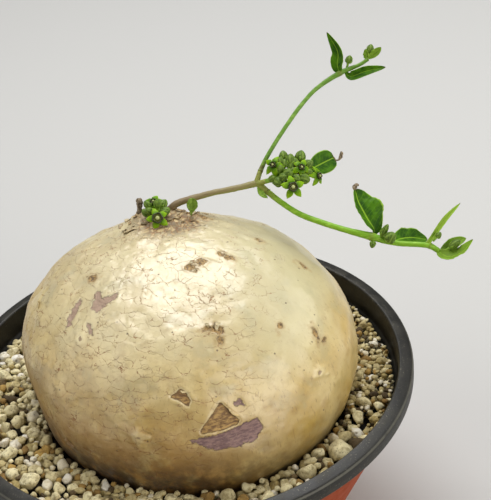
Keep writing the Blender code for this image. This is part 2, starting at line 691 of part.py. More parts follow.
def main():
    clear_scene()
    group = new_collection(OBJECT_NAME)
    scrap = new_collection("working pieces")
    surfaces = {name: make_material(name) for name in FINISHES}
    make_pot(group, scrap, surfaces["pot"])
    make_gravel(group, scrap, surfaces["gravel"])
    make_caudex(group, scrap, surfaces["caudex"])
    make_main_stem(group, scrap, surfaces["main stem"])
    green = surfaces["leafy shoot"]
    make_shoot("upper_shoot", UPPER_SHOOT, UPPER_LEAVES, UPPER_BUDS, group, scrap, green)
    make_shoot("lower_shoot", LOWER_SHOOT, LOWER_LEAVES, LOWER_BUDS, group, scrap, green)
    stalk = surfaces["flower stalk"]
    side = [key for key in FLOWERS if key.startswith("side")]
    crown = [key for key in FLOWERS if key.startswith("crown")]
    make_flower_stalks("side_flower_stalks", FLOWER_AXIS, side, CLUSTER_LEAVES, CLUSTER_BUDS,
                       group, scrap, stalk)
    make_flower_stalks("crown_flower_stalks", CROWN_AXIS, crown, (), CROWN_BUDS,
                       group, scrap, stalk)
    for key, (middle, facing, radius, turn, _root) in FLOWERS.items():
        make_corolla(key + "_petals", group, middle, facing, radius, turn, surfaces["petal"])
        make_corona(key + "_corona", group, middle, facing, turn, surfaces["corona"])
    make_crown_leaf(group, scrap, green)
    make_dead_stub(group, surfaces["dead stub"])
    bpy.data.collections.remove(scrap)


main()
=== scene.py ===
import math
import random

import bmesh
import bpy
import numpy as np
from mathutils import Matrix, Quaternion, Vector, noise


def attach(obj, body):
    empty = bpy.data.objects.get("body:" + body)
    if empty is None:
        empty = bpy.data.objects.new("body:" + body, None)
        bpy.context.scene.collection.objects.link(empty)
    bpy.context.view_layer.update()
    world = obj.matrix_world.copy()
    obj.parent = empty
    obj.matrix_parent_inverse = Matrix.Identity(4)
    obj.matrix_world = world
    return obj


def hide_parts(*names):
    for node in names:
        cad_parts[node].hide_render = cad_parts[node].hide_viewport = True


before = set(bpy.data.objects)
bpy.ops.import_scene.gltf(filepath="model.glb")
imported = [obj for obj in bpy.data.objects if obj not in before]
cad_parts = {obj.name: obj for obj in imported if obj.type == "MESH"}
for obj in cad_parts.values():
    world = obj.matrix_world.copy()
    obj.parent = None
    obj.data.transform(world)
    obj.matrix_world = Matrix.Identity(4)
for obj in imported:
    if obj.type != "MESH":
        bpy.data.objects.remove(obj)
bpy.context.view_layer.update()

MM = 0.001

# Camera, matched to the rim of the pan in the photograph
CAMERA_PLACE = (0.0, -637.2, 573.7)
CAMERA_AIM = (37.2, 27.5, 130.1)
CAMERA_ROLL = -6.8
CAMERA_LENS = 127.1

# The pan, as in the CAD
POT_HEIGHT = 90.0
RIM_RADIUS = 105.0
MOUTH_RADIUS = 98.4
BASE_RADIUS = 60.0
WALL = 2.2
FLOOR = 2.0
WALL_SLOPE = 0.5
LEDGE_HEIGHT = 77.0
DRAIN_RADIUS = 4.0
DRAIN_RING = 34.0
TURN_STEPS = 200

# The gravel
BED_LEVEL = 73.0
GRAVEL_TOP = 80.0           # height that the grains are heaped to
COARSE = ((1.7, 0.22), (2.3, 0.26), (2.9, 0.28), (3.6, 0.18), (4.6, 0.06))
FINE = ((1.1, 0.20), (1.5, 0.34), (2.0, 0.30), (2.6, 0.13), (3.3, 0.03))
FINE_SIDE = 35              # azimuth of the middle of the finer gravel, at the back right
GRAIN_FORMS = 16
# The stones that stand out: x, y, radius
LARGE_STONES = (
    (62.8, -60.1, 6.4), (52.9, -59.7, 3.4), (46.2, -70.7, 4.6), (-79.0, 2.5, 4.0),
    (-76.0, -6.5, 3.6), (-71.0, -47.4, 5.2), (77.5, -30.4, 3.2), (84.0, -35.0, 2.8),
    (74.0, -40.5, 3.8), (27.5, -84.0, 4.2), (36.6, -79.5, 3.0), (-80.1, -27.6, 3.8),
    (-59.0, -56.0, 3.2), (-43.3, -70.0, 3.6), (-62.0, 62.0, 4.6), (10.0, 88.0, 4.2),
)

# The caudex, as in the CAD
CAUDEX_CENTRE = (4.5, 0.0, 98.0)
CAUDEX_RADII = (75.0, 74.0, 58.0)
CAUDEX_LUMPS = (
    (150, 30, 0.050, 28), (125, 48, 0.012, 20), (188, -4, -0.050, 22),
    (-5, 4, 0.015, 30), (-72, -14, 0.035, 30), (210, -16, -0.030, 28),
)
CAUDEX_COLUMNS = 450
FINE_ROWS = 184             # rows of skin from the top down to just under the gravel's top
DEEP_ROWS = 24              # rows of skin below that
SKIN_FOOT = -21             # elevation where the deep rows begin
# Rises of the crown: x, y, height, reach
CROWN_RISES = ((1.5, 33.0, 3.6, 11.0), (-7.0, 34.0, 3.0, 4.6), (15.0, 29.0, 1.6, 5.0))
KNOBS = ((-110, 12, 4.2, 2.4), (-143, 43, 3.0, 0.7), (-43, 16, 3.4, 1.6))

# Places where the outer skin has peeled: corners as azimuth and elevation on the caudex
PURPLE_PEELS = (
    ((-94, 10), (-89, 10.8), (-82, 11.4), (-76, 13), (-71, 13), (-70, 8), (-73, 4), (-79, 3.5),
     (-86, 4), (-90, 7)),
    ((-164, 54), (-160, 54), (-154, 45), (-155, 43), (-159, 46)),
    ((-159, 60), (-154, 61), (-149, 59), (-142, 64), (-139, 62), (-143, 57), (-144, 54),
     (-150, 54), (-153, 57)),
    ((-146, 49.5), (-141, 48.6), (-138, 46.4), (-142, 46.8)),
    ((-75, 23), (-78, 21), (-74, 19.5)),
)
BROWN_PEELS = (
    ((57, 75.0), (51, 73.6), (45, 72.6), (45, 72.0), (51, 72.9), (57, 74.0)),
    ((-82, 23.5), (-86, 19), (-90, 14), (-90, 12.5), (-84, 12.3), (-78, 13), (-77, 14.5),
     (-79.5, 19)),
    ((-95, 31), (-97, 29.5), (-99, 28), (-95, 26), (-93, 23.5), (-92, 26), (-93, 29)),
)
# Brown scars: azimuth, elevation, half length and half width in millimetres, and the way they run
SCARS = (
    (-70, 77, 2.0, 1.8, -4), (-52, 76, 2.6, 1.7, 8), (-23, 73, 1.6, 1.4, 70), (-25, 70, 2.4, 1.5, 75),
    (-79, 51, 1.5, 1.1, 20), (-74.5, 49.5, 2.3, 1.9, -40), (-75, 45.5, 1.7, 1.1, -80),
    (-47, 40, 1.7, 1.1, 30), (10, 59, 1.8, 1.2, 40),
    (-3, 43, 2.0, 1.1, 80), (-35, 28.5, 3.2, 1.7, 75), (-33, 24, 1.2, 0.9, 0),
    (-171, 61, 2.2, 1.5, 30), (60, 66, 2.2, 1.4, 10), (40, 30, 2.6, 1.7, 50),
    (95, 20, 3.4, 2.0, 20), (130, 12, 2.8, 1.9, 100), (75, 42, 2.4, 1.6, 60),
    (165, 5, 2.6, 1.8, 0), (110, -2, 2.4, 1.7, 0),
)
# Loose scales of skin: azimuth, elevation, length, width, way the free edge looks, lift
SCALES = (
    (-78.2, 18.5, 6.0, 1.2, 215, 0.9), (-94.0, 30.0, 2.6, 1.0, 250, 0.5),
    (-73, 50.5, 4.2, 2.4, 140, 1.3), (-79, 52, 2.6, 1.4, 20, 0.8), (-149, 6, 5.5, 2.6, 200, 1.2),
    (-139, -2, 6.0, 2.4, 230, 1.0), (176, 36, 4.6, 2.6, 90, 1.5), (-62, 78, 3.4, 1.4, 80, 0.8),
    (-107, 14, 4.0, 1.6, 60, 0.8),
)

# Stems, as in the CAD: x, y, z and diameter
MAIN_STEM = (
    (3.0, 34.5, 148.5, 3.8), (6.5, 34.5, 153.5, 3.4), (11.5, 34.5, 156.2, 3.0),
    (25.5, 33.5, 159.0, 2.7), (36.0, 32.5, 160.2, 2.7), (45.5, 32.0, 161.5, 3.0),
)
FORK = (46.0, 32.0, 161.6)
FORK_UP = (FORK + (3.0,), (46.8, 32.8, 163.6, 2.4), (48.3, 34.6, 165.9, 2.2))
FORK_DOWN = (FORK + (3.0,), (47.8, 30.6, 160.3, 2.8), (50.1, 28.5, 158.5, 2.7))
FORK_FRONT = (FORK + (3.0,), (47.6, 30.6, 162.4, 2.4), (50.1, 28.9, 163.8, 2.2))
UPPER_SHOOT = (
    (48.3, 34.6, 165.9, 2.2), (51.5, 38.2, 169.3, 2.0), (56.0, 42.5, 173.2, 1.9),
    (61.5, 47.2, 177.6, 1.9), (70.5, 54.5, 184.0, 1.9), (79.5, 60.0, 189.2, 1.9),
    (91.0, 63.5, 193.4, 2.4), (100.0, 64.5, 195.5, 1.7), (104.5, 65.5, 197.3, 1.8),
)
LOWER_SHOOT = (
    (50.1, 28.5, 158.5, 2.7), (55.0, 24.5, 154.8, 2.6), (62.5, 19.0, 150.4, 2.6),
    (72.0, 14.0, 147.2, 2.6), (81.0, 10.0, 144.5, 2.6), (92.0, 6.0, 141.5, 3.4),
    (102.0, 2.5, 138.6, 2.5), (112.0, 0.3, 137.4, 2.4), (116.5, -0.8, 136.6, 2.6),
    (120.0, -2.5, 134.4, 2.4),
)
FLOWER_AXIS = (
    (50.1, 28.9, 163.8, 2.2), (54.0, 27.6, 165.2, 2.1), (59.0, 28.0, 166.0, 2.2),
    (65.0, 29.5, 165.8, 1.8), (70.0, 31.5, 165.0, 1.4),
)
CROWN_AXIS = ((-1.0, 29.0, 148.5, 2.4), (-1.0, 28.6, 152.5, 2.3), (-1.0, 28.2, 155.2, 2.3))
DEAD_STUB = (
    (-7.9, 33.5, 149.0, 3.6), (-7.8, 33.8, 153.0, 2.9), (-7.4, 34.4, 155.6, 2.0),
    (-7.0, 35.2, 157.6, 2.6), (-6.8, 36.4, 159.2, 2.7), (-6.7, 36.9, 159.9, 1.6),
)

# Leaves, as in the CAD: midrib points, width, the way the upper face looks, widest share, fold
MAIN_BRACT = (((46.4, 30.6, 160.6), (47.2, 28.0, 158.6), (49.6, 25.4, 157.2)),
              2.7, (0.3, -0.9, 0.1), 0.45, 0.3)
UPPER_LEAVES = (
    (((91.0, 63.5, 193.4), (90.4, 64.6, 197.4), (91.2, 66.6, 203.0), (87.6, 70.8, 211.0)),
     6.0, (-0.5, -0.8, 0.3), 0.45, 0.35),
    (((93.5, 63.8, 193.8), (95.6, 62.0, 191.8), (102.5, 59.2, 194.8), (111.0, 57.0, 196.6)),
     4.6, (0.1, -0.75, 0.65), 0.55, 0.45),
    (((104.0, 65.3, 197.0), (104.2, 66.2, 199.0), (104.0, 67.4, 201.6)),
     3.0, (-0.6, -0.7, 0.3), 0.50, 0.30),
    (((104.5, 65.5, 197.3), (107.8, 66.0, 199.6), (111.0, 66.2, 201.9)),
     3.4, (0.2, -0.8, 0.5), 0.55, 0.50),
)
UPPER_BUDS = (
    ((94.0, 64.2, 193.8), (96.9, 67.0, 199.8), 3.4),
    ((104.6, 65.6, 197.4), (107.0, 68.6, 203.0), 3.4),
)
LOWER_LEAVES = (
    (((92.5, 6.2, 141.8), (93.4, 7.6, 144.2), (91.4, 9.8, 148.0), (89.8, 13.2, 151.2),
      (88.5, 17.0, 154.2), (88.3, 21.6, 157.6)), 18.6, (0.25, -0.78, 0.58), 0.55, 0.16),
    (((101.5, 3.8, 138.8), (105.4, 6.2, 138.0), (111.0, 8.4, 136.0), (117.2, 8.4, 133.8)),
     11.5, (0.1, -0.42, 0.90), 0.50, 0.22),
    (((115.4, -0.8, 137.4), (119.4, 1.2, 141.2), (125.5, 4.6, 146.4), (132.6, 8.4, 150.4)),
     2.5, (-0.45, -0.75, 0.45), 0.55, 0.55),
    (((120.4, -2.8, 133.8), (124.2, -1.2, 134.4), (128.6, 0.4, 135.6), (133.2, 1.4, 136.2)),
     5.4, (-0.2, -0.6, 0.8), 0.50, 0.30),
    (((119.4, -2.6, 134.6), (123.5, -6.6, 133.4), (129.5, -7.4, 135.4), (134.8, -5.6, 139.8)),
     8.0, (-0.35, 0.15, 0.9), 0.50, 0.30),
)
# How single leaves of the lower shoot differ: the large one is folded, its left half narrow
LOWER_LEAF_SHAPES = {
    0: {"narrow": 0.34, "wave": 0.35, "ends": (1.25, 0.60), "rows": 44, "columns": 22,
        "base": 0.8, "tip": 0.5, "dry": 0.965},
    1: {"narrow": 0.8, "wave": 0.5, "rows": 36, "columns": 18},
    2: {"ends": (0.5, 0.9), "wave": 0.1, "base": 1.0, "young": 0.75},
    3: {"young": 0.35},
    4: {"ends": (0.6, 0.8), "base": 1.0, "young": 0.45},
}
LOWER_BUDS = (
    ((95.2, 4.2, 140.8), (99.6, 5.0, 147.4), 3.0, 2.2),
    ((97.6, 2.8, 139.8), (101.0, -0.8, 145.6), 5.3),
    ((92.6, 4.6, 140.6), (91.2, 2.8, 137.6), 2.8),
    ((118.0, -1.0, 139.0), (121.8, -0.4, 142.6), 2.8),
    ((122.6, -3.2, 134.4), (129.8, -3.0, 138.8), 3.6, 1.7),
)
CLUSTER_LEAVES = (
    (((69.0, 30.6, 164.8), (73.0, 33.0, 165.0), (78.0, 35.4, 165.4), (82.2, 37.4, 165.6)),
     10.4, (-0.1, -0.80, 0.60), 0.60, 0.22),
)
CLUSTER_BUDS = (
    ((58.5, 28.2, 166.4), (59.4, 35.4, 174.4), 4.0), ((60.5, 28.4, 166.4), (62.4, 32.4, 174.0), 4.5),
    ((64.5, 29.6, 166.2), (67.8, 36.2, 172.6), 5.0), ((58.5, 27.8, 165.8), (60.6, 22.8, 170.6), 4.7),
    ((59.5, 27.8, 165.6), (64.2, 21.4, 166.4), 4.2), ((62.0, 28.4, 165.6), (68.6, 21.8, 165.0), 5.0),
    ((54.5, 27.6, 164.8), (55.6, 21.6, 165.6), 5.0), ((55.5, 27.6, 164.8), (58.4, 22.2, 169.0), 4.0),
    ((52.4, 27.8, 164.6), (53.2, 24.8, 167.8), 3.6), ((66.0, 29.8, 165.8), (71.6, 29.6, 170.4), 4.0),
    ((63.0, 28.8, 166.0), (64.0, 31.0, 172.4), 4.0), ((58.0, 28.0, 165.4), (59.4, 24.6, 160.8), 3.2),
    ((56.0, 28.0, 165.4), (57.2, 28.4, 171.4), 3.8), ((61.0, 28.2, 165.8), (63.6, 26.6, 169.6), 4.2),
    ((64.0, 28.6, 165.6), (67.4, 25.6, 168.4), 3.8), ((66.0, 29.6, 165.4), (70.6, 26.0, 167.0), 3.8),
    ((60.5, 29.0, 166.4), (62.6, 30.0, 171.6), 3.8), ((58.0, 28.6, 166.2), (59.6, 31.0, 172.6), 3.6),
    ((66.0, 29.8, 165.8), (70.2, 30.2, 170.6), 3.6), ((57.0, 28.6, 166.0), (57.6, 31.8, 173.4), 3.2),
)
CROWN_BUDS = (
    ((-0.6, 28.6, 154.6), (5.0, 33.2, 159.4), 4.0), ((-0.6, 28.2, 154.6), (6.0, 26.4, 158.6), 4.2),
    ((-1.4, 28.2, 154.6), (-6.4, 27.8, 159.0), 4.0), ((-1.0, 28.4, 154.8), (-4.0, 24.4, 161.2), 3.6),
    ((-1.0, 28.4, 154.8), (1.6, 28.6, 163.0), 3.8), ((-1.0, 28.4, 154.8), (-4.6, 31.6, 161.4), 3.4),
    ((-0.8, 28.0, 154.6), (4.4, 22.6, 160.0), 3.4),
)
# Dry curls at the ends of the two broadest leaves
DRY_TIPS = (
    ((88.2, 21.0, 157.2, 1.5), (88.3, 21.9, 158.2, 1.9), (89.2, 22.4, 158.9, 1.7),
     (90.2, 22.4, 158.6, 1.0)),
    ((82.0, 37.4, 165.6, 0.6), (83.0, 37.8, 163.9, 0.6), (84.2, 38.4, 163.6, 1.0),
     (85.4, 38.8, 165.0, 1.7), (85.9, 39.0, 167.0, 1.2)),
)
CROWN_LEAF = ((14.6, 26.6, 148.0), (14.8, 27.0, 152.6), (15.8, 27.6, 156.8), (16.6, 28.2, 161.2))

# Open flowers, within 2.5 mm of the CAD: middle, the way it faces, radius, turn, root of its stalk
FLOWERS = {
    "side_flower_left": ((54.0, 29.5, 171.0), (-0.35, -0.55, 0.76), 4.6, 10, (55.5, 27.8, 165.6)),
    "side_flower_back": ((65.9, 26.6, 169.5), (0.20, -0.66, 0.72), 4.3, 40, (62.5, 28.8, 166.0)),
    "side_flower_front": ((60.6, 17.2, 166.0), (0.00, -0.80, 0.60), 5.0, 20, (57.5, 27.6, 165.6)),
    "side_flower_right": ((73.0, 26.8, 163.8), (0.75, -0.55, 0.35), 4.4, 0, (65.0, 29.2, 165.4)),
    "crown_flower_front": ((0.0, 20.0, 158.6), (-0.05, -0.72, 0.69), 4.8, 30, (-1.0, 28.0, 154.8)),
    "crown_flower_back": ((-0.8, 34.0, 158.4), (-0.05, -0.42, 0.90), 4.6, 5, (-1.0, 28.6, 154.8)),
}
CALYX = 2.4
# Younger flowers, whose ring is still small
RING_SHARES = {"side_flower_left": 0.64, "side_flower_back": 0.64, "side_flower_right": 0.68,
               "crown_flower_back": 0.66, "crown_flower_front": 1.14}


# Mesh tools

def make_piece(name, points, faces, material, slot, values=None, smooth=True, replaced=()):
    """A mesh from points in millimetres, with named values per point for its material to read."""
    mesh = bpy.data.meshes.new(name)
    mesh.from_pydata([(x * MM, y * MM, z * MM) for x, y, z in points], [], faces)
    mesh.validate()
    for key, numbers in (values or {}).items():
        layer = mesh.attributes.new(key, "FLOAT", "POINT")
        layer.data.foreach_set("value", np.asarray(numbers, dtype=np.float32))
    mesh.polygons.foreach_set("use_smooth", [smooth] * len(mesh.polygons))
    mesh.materials.append(material)
    piece = bpy.data.objects.new(name, mesh)
    bpy.context.scene.collection.objects.link(piece)
    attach(piece, "root")
    for node in replaced:
        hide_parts(node)
    return piece


class Shape:
    """Points, faces and values that several forms are gathered in before they become one piece."""

    def __init__(self):
        self.points = []
        self.faces = []
        self.values = {}

    def add(self, points, faces, **values):
        start = len(self.points)
        self.points.extend(tuple(p) for p in points)
        self.faces.extend(tuple(start + i for i in face) for face in faces)
        for key in set(values) | set(self.values):
            held = self.values.setdefault(key, [0.0] * start)
            new = values.get(key, 0.0)
            held.extend(new if hasattr(new, "__len__") else [new] * len(points))

    def build(self, name, material, slot, **options):
        return make_piece(name, self.points, self.faces, material, slot, self.values, **options)


def catmull(points, place):
    """A point on the smooth curve through the given ones, at place from 0 to 1."""
    last = len(points) - 1
    spot = min(max(place, 0.0), 1.0) * last
    index = min(int(spot), last - 1)
    t = spot - index
    p0, p1 = points[max(index - 1, 0)], points[index]
    p2, p3 = points[index + 1], points[min(index + 2, last)]
    return [
        0.5 * (2 * b + (c - a) * t + (2 * a - 5 * b + 4 * c - d) * t * t
               + (3 * b - a - 3 * c + d) * t ** 3)
        for a, b, c, d in zip(p0, p1, p2, p3)
    ]


def add_stem(shape, route, sides=14, pitch=0.7, rough=0.05, ribs=0, start=0.0, end=1.0,
             nodes=(), **extra):
    """A round stem through x, y, z and diameter, swollen at its nodes, with closed ends."""
    length = sum((Vector(a[:3]) - Vector(b[:3])).length for a, b in zip(route, route[1:]))
    count = max(int(length / pitch), 3)
    knots = [catmull(route, i / count) for i in range(count + 1)]
    centres = [Vector(k[:3]) for k in knots]
    side = None
    points, along, brown = [], [], []
    for index, centre in enumerate(centres):
        ahead = (centres[min(index + 1, count)] - centres[max(index - 1, 0)]).normalized()
        if side is None:
            side = ahead.orthogonal().normalized()
        side = (side - ahead * side.dot(ahead)).normalized()
        up = ahead.cross(side)
        near = max((math.exp(-((index / count - n) * length / 0.9) ** 2) for n in nodes), default=0)
        for step in range(sides):
            angle = math.tau * step / sides
            radius = knots[index][3] / 2 * (1 + 0.16 * near)
            radius *= 1 + rough * noise.noise(centre * 0.9 + Vector((step * 0.6, 0, 0)))
            radius *= 1 + 0.05 * math.cos(ribs * angle) if ribs else 1
            points.append(centre + (side * math.cos(angle) + up * math.sin(angle)) * radius)
            along.append(start + (end - start) * index / count)
            brown.append(near)
    faces = [
        (r * sides + s, r * sides + (s + 1) % sides,
         (r + 1) * sides + (s + 1) % sides, (r + 1) * sides + s)
        for r in range(count) for s in range(sides)
    ]
    faces.append(tuple(reversed(range(sides))))
    faces.append(tuple(range(count * sides, (count + 1) * sides)))
    shape.add(points, faces, along=along, node=brown, **extra)


def add_leaf(shape, midrib, width, facing, widest=0.5, fold=0.3, rows=30, columns=14,
             thickness=0.35, wave=0.25, ends=(0.8, 0.8), narrow=1.0, base=0.36, tip=0.12,
             dry=0.96, seed=0, **extra):
    """A folded blade with a sunk midrib and a waved edge; low values of ends make them blunt."""
    facing = Vector(facing).normalized()
    shift = math.log(0.5) / math.log(widest)
    spine = [Vector(catmull(midrib, i / rows)) for i in range(rows + 1)]
    upper, lower = [], []
    across, along, dried = [], [], []
    for index, point in enumerate(spine):
        t = index / rows
        ahead = (spine[min(index + 1, rows)] - spine[max(index - 1, 0)]).normalized()
        side = ahead.cross(facing).normalized()
        normal = side.cross(ahead).normalized()
        power = ends[0] + (ends[1] - ends[0]) * t
        swell = math.sin(math.pi * t ** shift) ** power if 0 < t < 1 else 0.0
        half = max(width / 2 * swell, base if t < 0.5 else tip)
        for column in range(columns + 1):
            s = 2 * column / columns - 1
            reach = half * s * (narrow if s < 0 else 1.0)
            steep = fold * (1.0 if s > 0 else 1 / narrow ** 0.5)
            ripple = wave * swell * abs(s) ** 2 * math.sin(6.5 * math.pi * t + 2.0 * s + seed)
            groove = -0.12 * swell * math.exp(-(s * 7) ** 2)
            quilt = 0.03 * half * math.cos(18 * math.pi * (t - 0.18 * abs(s))) * abs(s) * swell
            lift = half * steep * abs(s) ** 1.25 + ripple + groove + quilt
            place = point + side * reach + normal * lift
            thin = thickness * (1 - 0.45 * abs(s) ** 3)
            upper.append(place + normal * (thin / 2))
            lower.append(place - normal * (thin / 2))
            across.append(s)
            along.append(t)
            dried.append(min(max((t - dry) / 0.03, 0.0), 1.0))
    faces = sheet_faces(rows, columns)
    total = len(upper)
    shape.add(upper + lower, faces, across=across * 2, along=along * 2, dried=dried * 2,
              under=[0.0] * total + [1.0] * total, **extra)


def sheet_faces(rows, columns):
    """Faces of a thin closed sheet whose upper grid of points is followed by its lower one."""
    wide = columns + 1
    total = wide * (rows + 1)
    faces = []
    for r in range(rows):
        for c in range(columns):
            a, b = r * wide + c, r * wide + c + 1
            faces.append((a, b, b + wide, a + wide))
            faces.append((total + a, total + a + wide, total + b + wide, total + b))
        for c, turn in ((0, 1), (columns, -1)):
            a = r * wide + c
            faces.append((a, a + wide, total + a + wide, total + a)[::turn])
    for r, turn in ((0, -1), (rows, 1)):
        for c in range(columns):
            a = r * wide + c
            faces.append((a, a + 1, total + a + 1, total + a)[::turn])
    return faces


def add_bud(shape, root, tip, width, plump=1.12, stalk=1.1, lobes=5, rows=22, sides=40):
    """A short stalk with small sepals and a plump bud whose five petals close at the top."""
    root, tip = Vector(root), Vector(tip)
    ahead = (tip - root).normalized()
    length = min(width * plump, (tip - root).length * 0.9)
    neck = tip - ahead * length * 0.97
    if (neck - root).length > 0.4:
        add_stem(shape, (tuple(root) + (stalk,), tuple(root.lerp(neck, 0.5)) + (stalk * 0.9,),
                         tuple(neck) + (stalk * 1.2,)), sides=10, bloom=0.0, seam=0.0)
    side = ahead.orthogonal().normalized()
    up = ahead.cross(side)
    points, along, seam = [], [], []
    for row in range(rows + 1):
        t = row / rows
        outline = max(math.sin(math.pi * min(t * 1.01, 1.0) ** 0.80) ** 0.55, 0.03)
        for step in range(sides):
            angle = math.tau * step / sides
            crease = abs(math.cos(lobes * (angle + 0.35 * t * t) / 2)) ** 8
            radius = width / 2 * outline * (1.0 - 0.11 * crease * min(t * 2.2, 1.0))
            points.append(neck + ahead * (length * 0.97 * t)
                          + (side * math.cos(angle) + up * math.sin(angle)) * radius)
            along.append(t)
            seam.append(crease)
    faces = [
        (r * sides + s, r * sides + (s + 1) % sides,
         (r + 1) * sides + (s + 1) % sides, (r + 1) * sides + s)
        for r in range(rows) for s in range(sides)
    ]
    faces.append(tuple(reversed(range(sides))))
    faces.append(tuple(range(rows * sides, (rows + 1) * sides)))
    shape.add(points, faces, along=along, bloom=1.0, seam=seam)
    for index in range(lobes):
        angle = math.tau * (index + 0.5) / lobes
        out = side * math.cos(angle) + up * math.sin(angle)
        base = neck - ahead * 0.1 + out * (width * 0.14)
        middle = neck + ahead * (length * 0.14) + out * (width * 0.42)
        end = neck + ahead * (length * 0.34) + out * (width * 0.53)
        add_leaf(shape, (base, middle, end), width * 0.28, -out, 0.4, 0.2, rows=6, columns=4,
                 thickness=0.22, wave=0.0, bloom=0.2, seam=0.0)


# Material tools

def srgb(code, alpha=1.0):
    """An sRGB hex colour as linear RGB with alpha."""
    parts = [int(code[i:i + 2], 16) / 255 for i in (1, 3, 5)]
    return tuple(p / 12.92 if p <= 0.04045 else ((p + 0.055) / 1.055) ** 2.4
                 for p in parts) + (alpha,)


def add(tree, kind, output, sockets=None, **settings):
    """Add a shader node with its settings, fill or link its sockets, and give one output."""
    node = tree.nodes.new("ShaderNode" + kind)
    for name, value in settings.items():
        setattr(node, name, value)
    for socket, value in (sockets or {}).items():
        if isinstance(value, bpy.types.NodeSocket):
            tree.links.new(value, node.inputs[socket])
        else:
            node.inputs[socket].default_value = value
    return node.outputs[output]


def new_material(name, **constants):
    """A material with its Principled shader, whose plain values are set on its own sockets."""
    material = bpy.data.materials.new(name)
    material.use_nodes = True
    tree = material.node_tree
    shader = tree.nodes["Principled BSDF"]
    for key, value in constants.items():
        shader.inputs[key.replace("_", " ")].default_value = value
    return material, tree, shader


def told(tree, *names):
    """The values that a mesh holds for its material, by name."""
    return [add(tree, "Attribute", "Fac", attribute_name=name) for name in names]


def clouds(tree, *wanted):
    """Soft mottling, each from its size in millimetres, detail, roughness and stretch, if any."""
    place = add(tree, "TexCoord", "Object")
    made = []
    for size, detail, roughness, *stretch in wanted:
        spot = add(tree, "Mapping", 0, {"Vector": place, "Scale": stretch}) if stretch else place
        made.append(add(tree, "TexNoise", 0, {"Vector": spot, "Scale": 1 / (size * MM),
                                              "Detail": detail, "Roughness": roughness}))
    return made


def ramped(tree, share, *spans):
    """A share times smooth ramps, each with its value, where it is 0 and where it is 1."""
    for value, none, full in spans:
        share = add(tree, "MapRange", 0, {0: value, 1: none, 2: full, 4: share},
                    interpolation_type="SMOOTHSTEP")
    return share


def greatest(tree, share, *others):
    """The greatest of several shares."""
    for other in others:
        share = add(tree, "Math", 0, {0: share, 1: other}, operation="MAXIMUM")
    return share


def painted(tree, colour, *coats):
    """Lay coats over a first colour, each with its colour, its greatest share and its ramps."""
    colour = srgb(colour) if isinstance(colour, str) else colour
    for coat, share, *spans in coats:
        coat = srgb(coat) if isinstance(coat, str) else coat
        share = ramped(tree, share, *spans)
        colour = add(tree, "Mix", 2, {0: share, 6: colour, 7: coat}, data_type="RGBA")
    return colour


def pressed(tree, *layers):
    """Stack layers of relief, each from its height, its depth in millimetres and its strength."""
    normal = add(tree, "NewGeometry", "Normal")
    for height, depth, strength in layers:
        normal = add(tree, "Bump", 0, {"Height": height, "Distance": depth * MM,
                                       "Strength": strength, "Normal": normal})
    return normal


def cork_plates(tree, size, crack):
    """Scaly plates about size millimetres wide and two thirds of that high.

    Gives the crack lines (1 on a line), the same with only the lower edge of each plate strong as
    painted shadow under the plate's edge, the slope that each plate is tilted by, and a random shade for
    each plate.
    """
    place = add(tree, "TexCoord", "Object")
    place = add(tree, "Mapping", 0, {"Vector": place, "Scale": (1.0, 1.0, 1.55)})
    drift = add(tree, "TexNoise", "Color", {"Vector": place, "Scale": 0.8 / (size * MM),
                                            "Detail": 5.0, "Roughness": 0.65})
    drift = add(tree, "VectorMath", 0, {0: drift, 1: (0.5,) * 3}, operation="SUBTRACT")
    moved = add(tree, "VectorMath", 0, {0: drift, 1: (0.9 * size * MM,) * 3, 2: place},
                operation="MULTIPLY_ADD")
    edge = add(tree, "TexVoronoi", "Distance", {"Vector": moved, "Scale": 1 / (size * MM)},
               feature="DISTANCE_TO_EDGE")
    cell = add(tree, "TexVoronoi", "Color", {"Vector": moved, "Scale": 1 / (size * MM)})
    inward = add(tree, "VectorMath", 0, {0: moved, 1: cell.node.outputs["Position"]},
                 operation="SUBTRACT")
    # Lines on the lower edge of each plate are strong and on the upper edge faint: painted shadow under
    # the plates' edges
    below = add(tree, "VectorMath", "Value", {0: inward, 1: (-0.35, -0.45, -0.8)},
                operation="DOT_PRODUCT")
    below = add(tree, "MapRange", 0, {0: below, 1: 0.02 * size * MM, 2: 0.30 * size * MM, 3: 0.18},
                interpolation_type="SMOOTHSTEP")
    lean = add(tree, "VectorMath", 0, {0: cell, 1: (0.5,) * 3}, operation="SUBTRACT")
    slope = add(tree, "VectorMath", "Value", {0: inward, 1: lean}, operation="DOT_PRODUCT")
    slope = add(tree, "Math", 0, {0: slope, 1: size * MM}, operation="DIVIDE")
    lines, shadowed_lines = (ramped(tree, share, (edge, crack / size, 0.0)) for share in (1.0, below))
    return lines, shadowed_lines, slope, add(tree, "SeparateColor", 0, {0: cell})


# Materials

